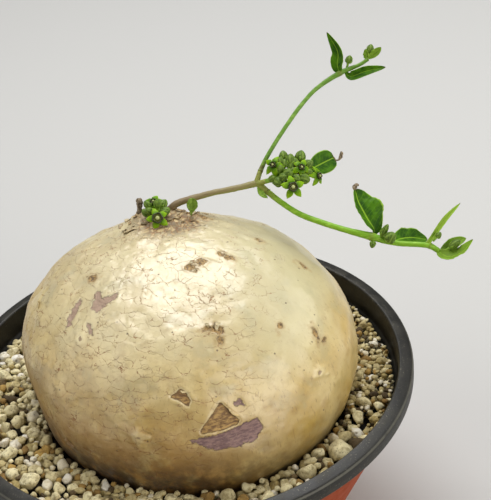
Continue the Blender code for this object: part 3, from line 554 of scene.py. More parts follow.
def caudex_cork():
    """Cork bark of a swollen root, grown and weathered.

    It gives a cream skin with a waxy sheen where it is whole, paler at the top as partly painted
    highlight, brown hair cracks round thin plates, darkest at their lower edges as painted shadow, ochre
    stain near the gravel that is partly painted shade, and matt purple and brown places where the skin
    has peeled.
    """
    material, tree, shader = new_material("caudex_cork", Specular_IOR_Level=0.9,
                                          Coat_Roughness=0.36)
    place = add(tree, "TexCoord", "Object")
    x = add(tree, "SeparateXYZ", "X", {0: place})
    z = x.node.outputs["Z"]
    # Sizes are those of the mottling, fibres and tears on the root, in millimetres
    broad, clotted, patchy, fine, rising, gaps, hair_gaps, torn, dusty, flaky, grit = clouds(
        tree, (22, 3.0, 0.55), (11, 4.0, 0.55), (6.5, 5.0, 0.6), (1.3, 4.0, 0.6), (14, 5.0, 0.65),
        (7.5, 4.0, 0.65), (9, 3.0, 0.55), (2.6, 6.0, 0.75), (0.8, 3.0, 0.6), (1.1, 4.0, 0.7),
        (0.5, 3.0, 0.7))
    fibre, streaks = clouds(tree, (1.5, 3.0, 0.6, 1.3, 1.3, 0.22), (1.5, 5.0, 0.65, 0.5, 0.5, 1.6))
    cracked, crown, knob, purple, brown, scar = told(
        tree, "cracked", "crown", "knob", "purple", "brown", "scab")
    lines, shadowed_arcs, slope, shade = cork_plates(tree, 6.0, 0.28)
    small_lines, small_arcs, small_slope, _ = cork_plates(tree, 2.7, 0.20)

    # Cream skin, mottled golden and grey, paler towards the top, partly as painted highlight, and greyer
    # at the upper right
    shade = add(tree, "Math", 0, {0: shade, 1: 0.05}, operation="MULTIPLY")
    colour = painted(
        tree, "#D0BC80", ("#BA9C4C", 1.0, (broad, 0.36, 0.68)),
        ("#A89C6C", 0.60, (clotted, 0.50, 0.68)), ("#A27F36", 0.52, (patchy, 0.52, 0.72)),
        ("#98804E", 0.22, (fine, 0.52, 0.75)), ("#CCC8B2", 0.45, (z, 0.116, 0.152)),
        ("#B2AE8A", 0.60, (x, 0.0, 0.055), (z, 0.112, 0.136)), ("#E2DCC6", shade))

    # Ochre stain that rises from the gravel, higher and darker on the left; its darkest coat, low down
    # by the gravel, is partly painted shade where the root goes into the gravel
    left = add(tree, "MapRange", 0, {0: x, 1: 0.065, 2: -0.02, 3: 0.25, 4: 1.0},
               interpolation_type="SMOOTHSTEP")
    stain = ramped(tree, left, (z, 0.145, 0.082), (rising, 0.20, 0.55))
    colour = painted(tree, colour, ("#946824", stain),
                     ("#3E2A10", left, (z, 0.108, 0.082), (patchy, 0.25, 0.58)))

    # Brown scaly collar round the crown
    scaly_crown = add(tree, "Math", 0, {0: patchy, 1: 14.0, 2: crown}, operation="MULTIPLY_ADD")
    collar = ramped(tree, 0.9, (scaly_crown, 30.0, 17.0))
    bark = painted(tree, "#66512F", ("#B09868", 1.0, (small_slope, -0.1, 0.15)))
    colour = painted(tree, colour, (bark, collar))

    # Short broken cracks, mostly along the lower edges of the plates, where their darkness is painted
    # shadow under each plate's edge
    scaly = add(tree, "Math", 0, {0: broad, 1: 0.7, 2: cracked}, operation="MULTIPLY_ADD")
    marks = greatest(tree, ramped(tree, shadowed_arcs, (gaps, 0.42, 0.52), (scaly, 0.50, 1.00)),
                     ramped(tree, small_arcs, (hair_gaps, 0.50, 0.62), (scaly, 0.55, 1.05)),
                     ramped(tree, small_lines, (scaly_crown, 30.0, 17.0)))
    colour = painted(tree, colour, ("#865218", 0.86, (marks, 0.0, 1.0)))

    # Short slanted fibres low down, and pin-prick pores, drawn twice as wide as they are
    dots = add(tree, "TexVoronoi", "Distance", {"Vector": place, "Scale": 1 / (6.5 * MM)})
    pores = ramped(tree, 0.75, (dots, 0.085, 0.045))
    colour = painted(tree, colour, ("#84642F", 0.5, (fibre, 0.60, 0.68), (z, 0.142, 0.118)),
                     ("#4E3818", pores))

    # Peeled patches and scars, whose edges are torn by these millimetres of noise
    torn = add(tree, "Math", 0, {0: torn, 1: 0.5}, operation="SUBTRACT")
    purple, brown, scar = (
        add(tree, "Math", 0, {0: torn, 1: tear, 2: depth}, operation="MULTIPLY_ADD")
        for depth, tear in ((purple, 5.0), (brown, 1.6), (scar, 3.6)))
    mauve = painted(tree, "#6C4E50", ("#93746E", 1.0, (streaks, 0.38, 0.62)),
                    ("#BCA184", 0.6, (dusty, 0.60, 0.72)), ("#B39A7C", 0.55, (z, 0.112, 0.135)))
    tan = painted(tree, "#6E4D22", ("#B08C4E", 1.0, (streaks, 0.40, 0.62)))
    flakes = painted(tree, "#4E3618", ("#A88850", 1.0, (flaky, 0.38, 0.56)))
    in_purple, in_brown, in_scar = (
        ramped(tree, 1.0, span)
        for span in ((purple, -0.30, 0.35), (brown, -0.10, 0.12), (scar, -0.4, 0.3)))
    colour = painted(
        tree, colour, (mauve, in_purple), (tan, in_brown),
        # Round the brown peels a pale lip of lifted skin, partly painted highlight, and a dark band just
        # inside it, painted shadow under that lip
        ("#F3EACB", 0.22, (brown, -0.80, -0.45), (brown, -0.10, -0.45)),
        ("#3E2A10", 0.60, (brown, -0.16, 0.12), (brown, 0.40, 0.12)),
        ("#A07C40", 0.45, (scar, -2.2, 0.0)), (flakes, 0.9, (in_scar, 0.0, 1.0)),
        # Knobs: pale towards their middle, and dark in the crater at the very middle, which is painted
        # shade
        ("#EBDFB4", 0.20, (knob, 0.25, 0.60)), ("#6E4E28", 0.8, (knob, 0.90, 0.97)))
    tree.links.new(colour, shader.inputs["Base Color"])

    # Waxy where the skin is whole, matt where it is cracked, stained or peeled
    peeled = greatest(tree, in_purple, in_brown, in_scar)
    dull = greatest(tree, peeled, marks, collar, ramped(tree, 0.5, (stain, 0.0, 1.0)))
    tree.links.new(add(tree, "MapRange", 0, {0: dull, 3: 0.55, 4: 0.0}),
                   shader.inputs["Coat Weight"])
    waxy = add(tree, "MapRange", 0, {0: fine, 1: 0.3, 2: 0.7, 3: 0.34, 4: 0.46})
    tree.links.new(add(tree, "MapRange", 0, {0: dull, 3: waxy, 4: 0.72},
                       interpolation_type="SMOOTHSTEP"), shader.inputs["Roughness"])

    tilted = add(tree, "Math", 0, {0: small_slope, 1: 0.5, 2: slope}, operation="MULTIPLY_ADD")
    tree.links.new(pressed(
        tree, (marks, -0.16, 0.8), (tilted, 0.42, ramped(tree, 0.8, (scaly, 0.55, 1.15))),
        (patchy, 0.30, ramped(tree, 0.5, (cracked, 0.1, 0.9))), (fibre, 0.20, 0.35),
        (peeled, -0.45, 0.9), (streaks, 0.5, ramped(tree, 0.8, (peeled, 0.0, 1.0))),
        (pores, -0.3, 0.7), (grit, 0.08, 0.4)), shader.inputs["Normal"])
    return material


def moulded_polypropylene():
    """Polypropylene moulded in two colours, black inside and on the rim, terracotta outside.

    It gives a soft sheen broken by dust and fine scratches, a rim edge that is rubbed grey and lightened
    as painted highlight, and an inner wall kept near black as painted shade.
    """
    material, tree, shader = new_material("pan_moulded_polypropylene", IOR=1.49,
                                          Specular_IOR_Level=0.35)
    terracotta, rubbed, inside = told(tree, "terracotta", "rubbed", "inside")
    # Smears of dust 8 mm across, grit of 0.8 mm, and scratches 0.2 mm wide drawn at 1.2 mm
    dust, specks, scratches = clouds(tree, (8, 6.0, 0.65), (0.8, 3.0, 0.6),
                                     (1.2, 3.0, 0.6, 1.0, 1.0, 6.0))
    # The outer edge of the rim is rubbed grey, which is partly painted highlight
    black = painted(tree, "#181816", ("#34322C", 0.9, (dust, 0.36, 0.66)),
                    ("#A09A84", 0.45, (specks, 0.60, 0.72)), ("#8A887A", rubbed, (dust, 0.1, 0.6)),
                    # On the inner wall the dust is covered in near black: painted shade inside the pan
                    ("#191815", 0.75, (inside, 0.0, 1.0)))
    orange = painted(tree, "#8E380A", ("#823006", 1.0, (dust, 0.35, 0.75)),
                     ("#AC7048", 0.20, (specks, 0.60, 0.75)))
    tree.links.new(painted(tree, black, (orange, 1.0, (terracotta, 0.4, 0.6))),
                   shader.inputs["Base Color"])
    worn = add(tree, "MapRange", 0, {0: dust, 1: 0.3, 2: 0.7, 3: 0.34, 4: 0.58})
    tree.links.new(add(tree, "Math", 0, {0: terracotta, 1: 0.25, 2: worn},
                       operation="MULTIPLY_ADD"), shader.inputs["Roughness"])
    tree.links.new(pressed(tree, (scratches, 0.08, 0.5), (specks, 0.14, 0.45)),
                   shader.inputs["Normal"])
    return material


def crushed_stone(name, light, dark, roughness, pits, stain):
    """Crushed stone, sieved and washed, of one kind.

    It gives dull facets between pale and dark, and pits some millimetres apart that are darker at their
    middles.
    """
    material, tree, shader = new_material(name, Roughness=roughness)
    tone, = told(tree, "tone")
    mottle, = clouds(tree, (2.2, 5.0, 0.65))
    pit = add(tree, "TexVoronoi", "Distance", {"Vector": add(tree, "TexCoord", "Object"),
                                               "Scale": 1 / (pits * MM)})
    tree.links.new(painted(tree, light, (dark, tone), (stain, 0.65, (mottle, 0.42, 0.68)),
                           ("#4E3C20", 0.55, (pit, 0.26, 0.08))), shader.inputs["Base Color"])
    tree.links.new(pressed(tree, (mottle, 0.5, 0.7), (ramped(tree, 1.0, (pit, 0.08, 0.26)), 0.22,
                                                      0.6)), shader.inputs["Normal"])
    return material


def potting_grit_and_gap_shade():
    """Potting grit, dark and matt, its darkness partly its own and partly painted shade, so that the
    gaps between the stones read as deep.
    """
    material, tree, shader = new_material("bed_potting_grit_and_gap_shade", Roughness=0.95)
    lumps, = clouds(tree, (2.4, 6.0, 0.7))
    tree.links.new(painted(tree, "#15110D", ("#463924", 1.0, (lumps, 0.40, 0.75))),
                   shader.inputs["Base Color"])
    tree.links.new(pressed(tree, (lumps, 1.2, 0.9)), shader.inputs["Normal"])
    return material


def thin_bark():
    """Thin bark of a young stem: grey-brown at the root, olive below and paler by the fork."""
    material, tree, shader = new_material("stem_thin_bark", IOR=1.45, Roughness=0.5)
    along, = told(tree, "along")
    flecks, = clouds(tree, (1.2, 4.0, 0.6, 0.4, 1.0, 1.0))
    facing_up = add(tree, "SeparateXYZ", "Z", {0: add(tree, "TexCoord", "Normal")})
    tree.links.new(painted(
        tree, "#54412F", ("#7E6B50", 1.0, (along, -0.05, 0.22)), ("#847A50", 1.0, (along, 0.15, 0.6)),
        ("#8A9240", 1.0, (along, 0.6, 1.0)), ("#7C8A2C", 0.7, (facing_up, 0.3, -0.5), (along, 0.1, 0.5)),
        ("#6E5640", 0.5, (flecks, 0.50, 0.72))), shader.inputs["Base Color"])
    tree.links.new(pressed(tree, (flecks, 0.18, 0.7)), shader.inputs["Normal"])
    return material


# What light does inside green tissue: it spreads by these millimetres of red, green and blue
TISSUE = {"Subsurface_Radius": (0.5, 1.1, 0.2), "Subsurface_Scale": 0.6 * MM, "IOR": 1.45}


def green_stem(name, dull, fresh, streaked):
    """Green stem, waxy: a soft sheen with lengthwise streaks, dull by the bark, brown at nodes."""
    material, tree, shader = new_material(name, Roughness=0.42, Specular_IOR_Level=0.35,
                                          Subsurface_Weight=0.10, **TISSUE)
    along, node = told(tree, "along", "node")
    streak, = clouds(tree, (1.4, 3.0, 0.5, 0.3, 1.0, 1.0))
    tree.links.new(painted(tree, dull, (fresh, 1.0, (along, 0.0, 0.16)),
                           (streaked, 0.6, (streak, 0.45, 0.70)), ("#6E6230", 0.4, (node, 0.0, 1.0))),
                   shader.inputs["Base Color"])
    tree.links.new(pressed(tree, (streak, 0.10, 0.5)), shader.inputs["Normal"])
    return material


def leaf_blade():
    """Soft leaf: satin above with a pale rib and edge, matt and paler below, dry at the tip."""
    material, tree, shader = new_material("leaf_soft_blade", Specular_IOR_Level=0.18,
                                          Subsurface_Weight=0.10, **TISSUE)
    across, along, under, dried, young = told(tree, "across", "along", "under", "dried", "young")
    across = add(tree, "Math", 0, {0: across}, operation="ABSOLUTE")
    mottle, pores = clouds(tree, (4.0, 4.0, 0.6), (0.6, 2.0, 0.5))
    # Nine pairs of side veins leave the rib at a slant, faintly
    run = add(tree, "Math", 0, {0: along, 1: 9.0 * math.tau}, operation="MULTIPLY")
    run = add(tree, "Math", 0, {0: across, 1: -1.6 * math.tau, 2: run}, operation="MULTIPLY_ADD")
    veins = ramped(tree, 0.5, (add(tree, "Math", 0, {0: run}, operation="COSINE"), 0.80, 1.0))
    rib = ramped(tree, 1.0, (across, 0.085, 0.02))
    tree.links.new(painted(
        tree, "#214800", ("#426E02", 1.0, (mottle, 0.35, 0.65)), ("#6CA420", 0.15, (veins, 0.0, 0.5)),
        ("#94B43C", young, (mottle, -1.0, 0.0)), ("#94BC30", 0.6, (rib, 0.0, 1.0)),
        ("#A0C040", 0.6, (across, 0.90, 0.98)), ("#76A034", 0.55, (under, 0.0, 1.0)),
        ("#5A4630", dried)), shader.inputs["Base Color"])
    tree.links.new(add(tree, "MapRange", 0, {0: under, 3: 0.55, 4: 0.70}), shader.inputs["Roughness"])
    tree.links.new(pressed(tree, (greatest(tree, rib, veins), -0.10, 0.7), (pores, 0.04, 0.5)),
                   shader.inputs["Normal"])
    return material


def downy_bud():
    """Buds with a fine down, on smooth stalks: matt grey-green heads with paler seams."""
    material, tree, shader = new_material("bud_downy_skin", Roughness=0.55, IOR=1.45,
                                          Specular_IOR_Level=0.3)
    bloom, seam = told(tree, "bloom", "seam")
    mottle, = clouds(tree, (0.9, 4.0, 0.6))
    stalk, head = (painted(tree, deep, (pale, 1.0, (mottle, 0.35, 0.70)))
                   for deep, pale in (("#6F9230", "#8FB142"), ("#405A18", "#647E28")))
    head = painted(tree, head, ("#8CA64A", 0.45, (seam, 0.3, 0.9)))
    tree.links.new(painted(tree, stalk, (head, bloom)), shader.inputs["Base Color"])
    tree.links.new(pressed(tree, (mottle, 0.12, 0.6)), shader.inputs["Normal"])
    return material


def waxy_petal():
    """Waxy petals: a sheen on yellow-green, with a paler edge, and painted shade that darkens them
    towards the ring.
    """
    material, tree, shader = new_material("petal_waxy_skin", Roughness=0.50,
                                          Specular_IOR_Level=0.2, Subsurface_Weight=0.15, **TISSUE)
    along, across, under = told(tree, "along", "across", "under")
    across = add(tree, "Math", 0, {0: across}, operation="ABSOLUTE")
    mottle, = clouds(tree, (0.9, 4.0, 0.6))
    # Dark at the root of each petal, by the ring, as painted shade
    tree.links.new(painted(
        tree, "#3A6204", ("#7CA408", 1.0, (along, 0.20, 0.80)), ("#5E8C0C", 0.4, (mottle, 0.45, 0.70)),
        ("#A8C022", 0.5, (across, 0.82, 0.98)), ("#7C9A3C", 0.5, (under, 0.0, 1.0))),
        shader.inputs["Base Color"])
    tree.links.new(pressed(tree, (mottle, 0.08, 0.5)), shader.inputs["Normal"])
    return material


def fleshy_ring():
    """Fleshy flower ring: dark and moist, with an olive floor and a pale green knob."""
    material, tree, shader = new_material("corona_fleshy_skin", Roughness=0.32, IOR=1.45)
    tone, = told(tree, "tone")
    tree.links.new(painted(tree, "#2A2B10", ("#5C6124", 1.0, (tone, 0.0, 0.5)),
                           ("#A8AE72", 1.0, (tone, 0.5, 1.0))), shader.inputs["Base Color"])
    return material


def dead_wood():
    """Dead wood, weathered: matt grey-brown with dark lengthwise checks."""
    material, tree, shader = new_material("stub_dead_wood", Roughness=0.9)
    checks, = clouds(tree, (0.9, 5.0, 0.7, 1.0, 1.0, 0.35))
    tree.links.new(painted(tree, "#524433", ("#9A8B72", 1.0, (checks, 0.38, 0.62))),
                   shader.inputs["Base Color"])
    tree.links.new(pressed(tree, (checks, 0.5, 0.9)), shader.inputs["Normal"])
    return material


def backdrop_paper():
    """Backdrop paper, uncoated: an even pale grey without sheen."""
    return new_material("floor_backdrop_paper", Roughness=0.8, Base_Color=srgb("#B9B9B8"))[0]


# The pan

def outer_radius(z):
    return BASE_RADIUS + WALL_SLOPE * z


def round_corners(profile, radius, steps=3):
    """Ease each corner of a profile of radius and height with a short curve."""
    out = [profile[0]]
    for before, corner, after in zip(profile, profile[1:], profile[2:]):
        a, b, c = Vector(before), Vector(corner), Vector(after)
        start = b + (a - b).normalized() * min(radius, (a - b).length * 0.4)
        end = b + (c - b).normalized() * min(radius, (c - b).length * 0.4)
        for step in range(steps + 1):
            t = step / steps
            out.append(tuple(start * (1 - t) ** 2 + b * 2 * t * (1 - t) + end * t * t))
    out.append(profile[-1])
    return out


def make_pot(material):
    """The two-colour pan, turned from its profile, with four drain holes in the floor."""
    ledge = outer_radius(LEDGE_HEIGHT) - WALL
    profile = (
        (0.0, FLOOR), (outer_radius(FLOOR) - WALL, FLOOR), (ledge, LEDGE_HEIGHT),
        (ledge + 1.4, LEDGE_HEIGHT + 1.2), (MOUTH_RADIUS - 0.1, POT_HEIGHT - 0.8),
        (MOUTH_RADIUS + 0.6, POT_HEIGHT), (RIM_RADIUS - 0.9, POT_HEIGHT - 1.4),
        (RIM_RADIUS, POT_HEIGHT - 2.4), (RIM_RADIUS - 0.2, POT_HEIGHT - 8.0),
        (RIM_RADIUS - 1.3, POT_HEIGHT - 8.2), (RIM_RADIUS - 1.6, POT_HEIGHT - 5.2),
        (RIM_RADIUS - 2.8, POT_HEIGHT - 5.2), (outer_radius(81.8), 81.8),
        (outer_radius(1.2), 1.2), (BASE_RADIUS - 1.0, 0.0), (0.0, 0.0),
    )
    eased = round_corners(profile, 0.7)
    shape = Shape()
    points, faces, terracotta, inside, rubbed = [], [], [], [], []
    rows = len(eased)
    turning = False
    for index, (r, z) in enumerate(eased):
        outside = index > rows / 2 and z < POT_HEIGHT - 5.6 and r < outer_radius(z) + 0.4
        # The inner wall, whose darkening is painted shade
        hidden = index < rows / 2 and z < POT_HEIGHT - 0.9
        # The outer edge of the rim, rubbed grey and lightened as a painted highlight
        edge = r > RIM_RADIUS - 0.8 and z > POT_HEIGHT - 2.6
        for step in range(TURN_STEPS):
            angle = math.tau * step / TURN_STEPS
            sway = 0.12 * math.sin(3 * angle + 1) * (z / POT_HEIGHT) ** 2
            points.append(((r + sway * (r > 1)) * math.cos(angle),
                           (r + sway * (r > 1)) * math.sin(angle), z))
            terracotta.append(1.0 if outside else 0.0)
            inside.append(1.0 if hidden else 0.0)
            rubbed.append(1.0 if edge else 0.0)
    for row in range(rows - 1):
        for step in range(TURN_STEPS):
            after = (step + 1) % TURN_STEPS
            faces.append((row * TURN_STEPS + step, row * TURN_STEPS + after,
                          (row + 1) * TURN_STEPS + after, (row + 1) * TURN_STEPS + step))
    shape.add(points, faces, terracotta=terracotta, inside=inside, rubbed=rubbed)
    pot = shape.build("pan", material, "pot_plastic", replaced=("pot",))
    weld(pot)
    for index in range(4):
        angle = math.radians(45 + 90 * index)
        cut_round_hole(pot, (DRAIN_RING * math.cos(angle), DRAIN_RING * math.sin(angle)))
    return pot


def weld(piece):
    bm = bmesh.new()
    bm.from_mesh(piece.data)
    bmesh.ops.remove_doubles(bm, verts=bm.verts, dist=1e-6)
    bmesh.ops.recalc_face_normals(bm, faces=bm.faces)
    bm.to_mesh(piece.data)
    bm.free()


def cut_round_hole(pot, centre):
    bm = bmesh.new()
    place = Matrix.Translation((centre[0] * MM, centre[1] * MM, 1 * MM))
    bmesh.ops.create_cone(bm, cap_ends=True, segments=32, radius1=DRAIN_RADIUS * MM,
                          radius2=DRAIN_RADIUS * MM, depth=8 * MM, matrix=place)
    mesh = bpy.data.meshes.new("drill")
    bm.to_mesh(mesh)
    bm.free()
    drill = bpy.data.objects.new("drill", mesh)
    bpy.context.scene.collection.objects.link(drill)
    step = pot.modifiers.new("drain", "BOOLEAN")
    step.operation = "DIFFERENCE"
    step.solver = "EXACT"
    step.object = drill
    graph = bpy.context.evaluated_depsgraph_get()
    mesh = bpy.data.meshes.new_from_object(pot.evaluated_get(graph))
    pot.modifiers.clear()
    pot.data = mesh
    bpy.data.objects.remove(drill, do_unlink=True)


# The caudex

def heading(azimuth, elevation):
    a, e = math.radians(azimuth), math.radians(elevation)
    return np.array((math.cos(e) * math.cos(a), math.cos(e) * math.sin(a), math.sin(e)))


def caudex_base(rays):
    """The CAD's ellipsoid with its lumps, for rows of unit rays."""
    scale = np.ones(len(rays))
    for azimuth, elevation, share, reach in CAUDEX_LUMPS:
        angle = np.degrees(np.arccos(np.clip(rays @ heading(azimuth, elevation), -1, 1)))
        scale += share * np.exp(-(angle / reach) ** 2)
    return np.array(CAUDEX_CENTRE) + rays * scale[:, None] * np.array(CAUDEX_RADII)


def soft_noise(points, size, offset, octaves=3):
    """Noise from -1 to 1 for rows of points in millimetres, in patches about size across."""
    shift = Vector((offset, offset * 0.7, -offset))
    return np.array([noise.fractal(Vector(p) / size + shift, 1.0, 2.0, octaves) for p in points])


def skin_frame(way):
    """A unit way out of the caudex, with the level and the upward way along the skin there."""
    middle = way / np.linalg.norm(way)
    east = np.cross((0, 0, 1), middle)
    east /= np.linalg.norm(east)
    return middle, east, np.cross(middle, east)


def scar_span(rays, azimuth, elevation, length, width, way):
    """Distance from the middle of a scar, 1 on its outline, for rows of rays."""
    middle, east, north = skin_frame(heading(azimuth, elevation))
    run = east * math.cos(math.radians(way)) + north * math.sin(math.radians(way))
    offset = (rays - middle) * 74
    span = np.hypot(offset @ run / length, offset @ np.cross(middle, run) / width)
    return np.where(rays @ middle > 0.5, span, 99.0)


def patch_depth(rays, corners):
    """Signed distance in millimetres into a patch on the skin, positive inside it."""
    spots = np.array([heading(a, e) for a, e in corners])
    middle, east, north = skin_frame(spots.mean(axis=0))
    scale = np.array(CAUDEX_RADII)
    flat, ring = (((way - middle) * scale) @ np.stack([east, north], axis=1)
                  for way in (rays, spots))
    near = np.full(len(rays), 1e9)
    inside = np.zeros(len(rays), dtype=bool)
    for a, b in zip(ring, np.roll(ring, -1, axis=0)):
        edge = b - a
        share = np.clip(((flat - a) @ edge) / (edge @ edge), 0, 1)
        near = np.minimum(near, np.linalg.norm(flat - a - share[:, None] * edge, axis=1))
        crosses = (a[1] > flat[:, 1]) != (b[1] > flat[:, 1])
        with np.errstate(divide="ignore", invalid="ignore"):
            cut = a[0] + (flat[:, 1] - a[1]) / (b[1] - a[1]) * (b[0] - a[0])
        inside ^= crosses & (flat[:, 0] < cut)
    depth = np.where(inside, near, -near)
    return np.where(rays @ middle > 0.2, depth, -50.0)


def plate_relief(points, size, seed):
    """Height from -1 to 1 of scales about size millimetres across, each tilted its own way."""
    heights = []
    for point in points:
        spot = Vector(point) / size + Vector((seed, -seed, seed))
        spot += noise.noise_vector(spot * 1.6) * 0.30
        nearest = noise.voronoi(spot)[1][0]
        heights.append((spot - nearest).dot(noise.noise_vector(nearest * 5.3)) * 3)
    return np.clip(heights, -1, 1)


def spans_from(rays, places):
    """Distance in millimetres over the skin from each place, for rows of rays."""
    return [np.linalg.norm((rays - heading(*place[:2])) * 74, axis=1) for place in places]


def caudex_surface(rays):
    """Points of the finished skin, and the values that its material reads, for rows of rays."""
    base = caudex_base(rays)
    seen = base[:, 2] > 68
    shown = base[seen]
    height = np.zeros(len(base))
    height[seen] += 1.15 * soft_noise(shown, 23.0, 3.1, 2)
    height[seen] += 0.36 * soft_noise(shown, 8.0, 8.2, 2)
    # How scaly the skin is: the upper left and the front, less on the smooth right
    cracked = np.clip(0.66 - (base[:, 0] - 4.5) / 110 + (rays[:, 2] - 0.45) * 0.20, 0, 1)
    height[seen] += 0.22 * cracked[seen] * plate_relief(shown, 6.5, 2.0)
    height[seen] += 0.07 * cracked[seen] * soft_noise(shown, 2.6, 5.4, 2)

    # The crown rises under the stem and is covered in coarse scales
    crown = np.linalg.norm(base - np.array((5.0, 24.0, 152.0)), axis=1)
    for x, y, rise, reach in CROWN_RISES:
        flat = np.hypot(base[:, 0] - x, base[:, 1] - y) / reach
        height += np.where(rays[:, 2] > 0, rise * np.exp(-flat ** 2), 0.0)
    ring = (crown < 30) & seen
    share = np.clip(1.2 - crown[ring] / 26, 0, 1)
    height[ring] += share * (0.75 * plate_relief(base[ring], 4.6, 1.0)
                             + 0.35 * soft_noise(base[ring], 2.6, 1.7, 2))

    torn = np.zeros(len(base))
    torn[seen] = soft_noise(shown, 2.7, 6.6, 3)
    knob = np.zeros(len(base))
    for span, (_az, _el, radius, rise) in zip(spans_from(rays, KNOBS), KNOBS):
        share = np.maximum(span / radius * (1 + 0.8 * torn), 0)
        knob = np.maximum(knob, np.exp(-share ** 2 * 1.3))
        height += rise * (np.exp(-share ** 2 * 1.5) - 0.62 * np.exp(-(share * 3.0) ** 2))
        height += 0.16 * rise * torn * np.exp(-(share / 2.2) ** 2)
    scab = np.full(len(base), -5.0)
    for scar in SCARS:
        span = scar_span(rays, *scar) * (1 + 0.6 * torn)
        scab = np.maximum(scab, (1 - span) * scar[3])
        height -= 0.75 * np.exp(-(span / 0.7) ** 2)
        height += 0.50 * (0.6 + torn) * np.exp(-((span - 1.25) / 0.4) ** 2)
    wobble = np.zeros(len(base))
    wobble[seen] = 0.8 * soft_noise(shown, 3.0, 2.2, 2)
    purple, brown = (
        np.max([patch_depth(rays, corners) for corners in group], axis=0)
        for group in (PURPLE_PEELS, BROWN_PEELS))
    height -= 0.30 / (1 + np.exp(-(purple + wobble) * 3.5))
    height -= 0.70 / (1 + np.exp(-(brown + 0.5 * wobble) * 4.0))
    height += 0.25 * np.exp(-((brown + 1.0) / 0.8) ** 2)

    normals = rays / np.array(CAUDEX_RADII)
    normals /= np.linalg.norm(normals, axis=1)[:, None]
    values = {"crown": crown, "knob": knob, "cracked": cracked, "scab": np.clip(scab, -5, 5),
              "purple": np.clip(purple, -5, 5), "brown": np.clip(brown, -5, 5)}
    return base + normals * height[:, None], values


def skin_rows():
    """Elevations of the rows of skin: close above the gravel, wide below it."""
    fine = [90 - (90 - SKIN_FOOT) * row / FINE_ROWS for row in range(1, FINE_ROWS + 1)]
    deep = [SKIN_FOOT - (90 + SKIN_FOOT) * row / DEEP_ROWS for row in range(1, DEEP_ROWS)]
    return np.radians(fine + deep)


def make_caudex(material):
    """The swollen root: lumps, dents, crown, knobs, scabs and peeled patches as real relief."""
    rows = skin_rows()
    turns = np.linspace(0, math.tau, CAUDEX_COLUMNS, endpoint=False)
    rays = [np.array((0.0, 0.0, 1.0))]
    for lean in rows:
        rays.extend(np.stack([math.cos(lean) * np.cos(turns), math.cos(lean) * np.sin(turns),
                              np.full(CAUDEX_COLUMNS, math.sin(lean))], axis=1))
    rays.append(np.array((0.0, 0.0, -1.0)))
    points, values = caudex_surface(np.array(rays))
    return make_piece("caudex_skin", points, skin_faces(len(rows)), material, "caudex_skin",
                      values, replaced=("caudex",))


def skin_faces(rows):
    columns, last = CAUDEX_COLUMNS, 1 + rows * CAUDEX_COLUMNS
    faces = [(0, 1 + c, 1 + (c + 1) % columns) for c in range(columns)]
    for row in range(rows - 1):
        start = 1 + row * columns
        for c in range(columns):
            after = (c + 1) % columns
            faces.append((start + c, start + columns + c, start + columns + after, start + after))
    start = 1 + (rows - 1) * columns
    faces += [(start + (c + 1) % columns, start + c, last) for c in range(columns)]
    return faces


def add_scale(shape, azimuth, elevation, length, width, way, lift, dice):
    """A thin scale of dry skin that lies on the caudex, with one long edge curled up."""
    middle, east, north = skin_frame(heading(azimuth, elevation))
    turn = math.radians(way)
    outward = east * math.cos(turn) + north * math.sin(turn)
    along = np.cross(middle, outward)
    rows, columns = 6, 12
    rays, heights, across = [], [], []
    for row in range(rows + 1):
        v = row / rows
        for column in range(columns + 1):
            u = 2 * column / columns - 1
            ragged = 1 + 0.35 * noise.noise(Vector((u * 2.3, azimuth, elevation))) if v > 0 else 1
            reach = width * v * ragged * (1 - 0.75 * u * u)
            rays.append(middle * 74 + along * (u * length / 2) + outward * reach)
            heights.append(0.12 + lift * v ** 1.6 * (1 - 0.6 * u * u))
            across.append(v)
    rays = np.array(rays) / np.linalg.norm(rays, axis=1)[:, None]
    points, _ = caudex_surface(rays)
    rise = rays * np.array(heights)[:, None]
    sheet = list(points + rise + rays * 0.12) + list(points + rise - rays * 0.12)
    plain = {"cracked": 0.5, "crown": 40.0 if elevation < 55 else dice.uniform(8, 20),
             "scab": -5.0, "purple": -5.0, "brown": -5.0, "knob": 0.0}
    shape.add(sheet, sheet_faces(rows, columns), **plain)


def make_scales(material):
    """Loose scales by the peeled places, and a collar of them round the crown."""
    dice = random.Random(5)
    shape = Shape()
    for azimuth, elevation, length, width, way, lift in SCALES:
        add_scale(shape, azimuth, elevation, length, width, way, lift, dice)
    for index in range(46):
        angle = math.tau * index / 46 * 3 + dice.uniform(-0.15, 0.15)
        reach = dice.uniform(9.0, 23.0)
        x, y = 1.0 + reach * math.cos(angle), 33.0 + 0.8 * reach * math.sin(angle)
        flat = ((x - CAUDEX_CENTRE[0]) / CAUDEX_RADII[0], (y - CAUDEX_CENTRE[1]) / CAUDEX_RADII[1])
        up = math.sqrt(max(1 - flat[0] ** 2 - flat[1] ** 2, 0.01))
        azimuth = math.degrees(math.atan2(flat[1], flat[0]))
        elevation = math.degrees(math.atan2(up, math.hypot(*flat)))
        away = math.degrees(angle) - azimuth - 90 + dice.uniform(-30, 30)
        add_scale(shape, azimuth, elevation, dice.uniform(2.2, 4.6), dice.uniform(1.0, 2.0),
                  away, dice.uniform(0.3, 1.0), dice)
    shape.build("caudex_scales", material, "caudex_skin", replaced=("caudex",))


# The gravel

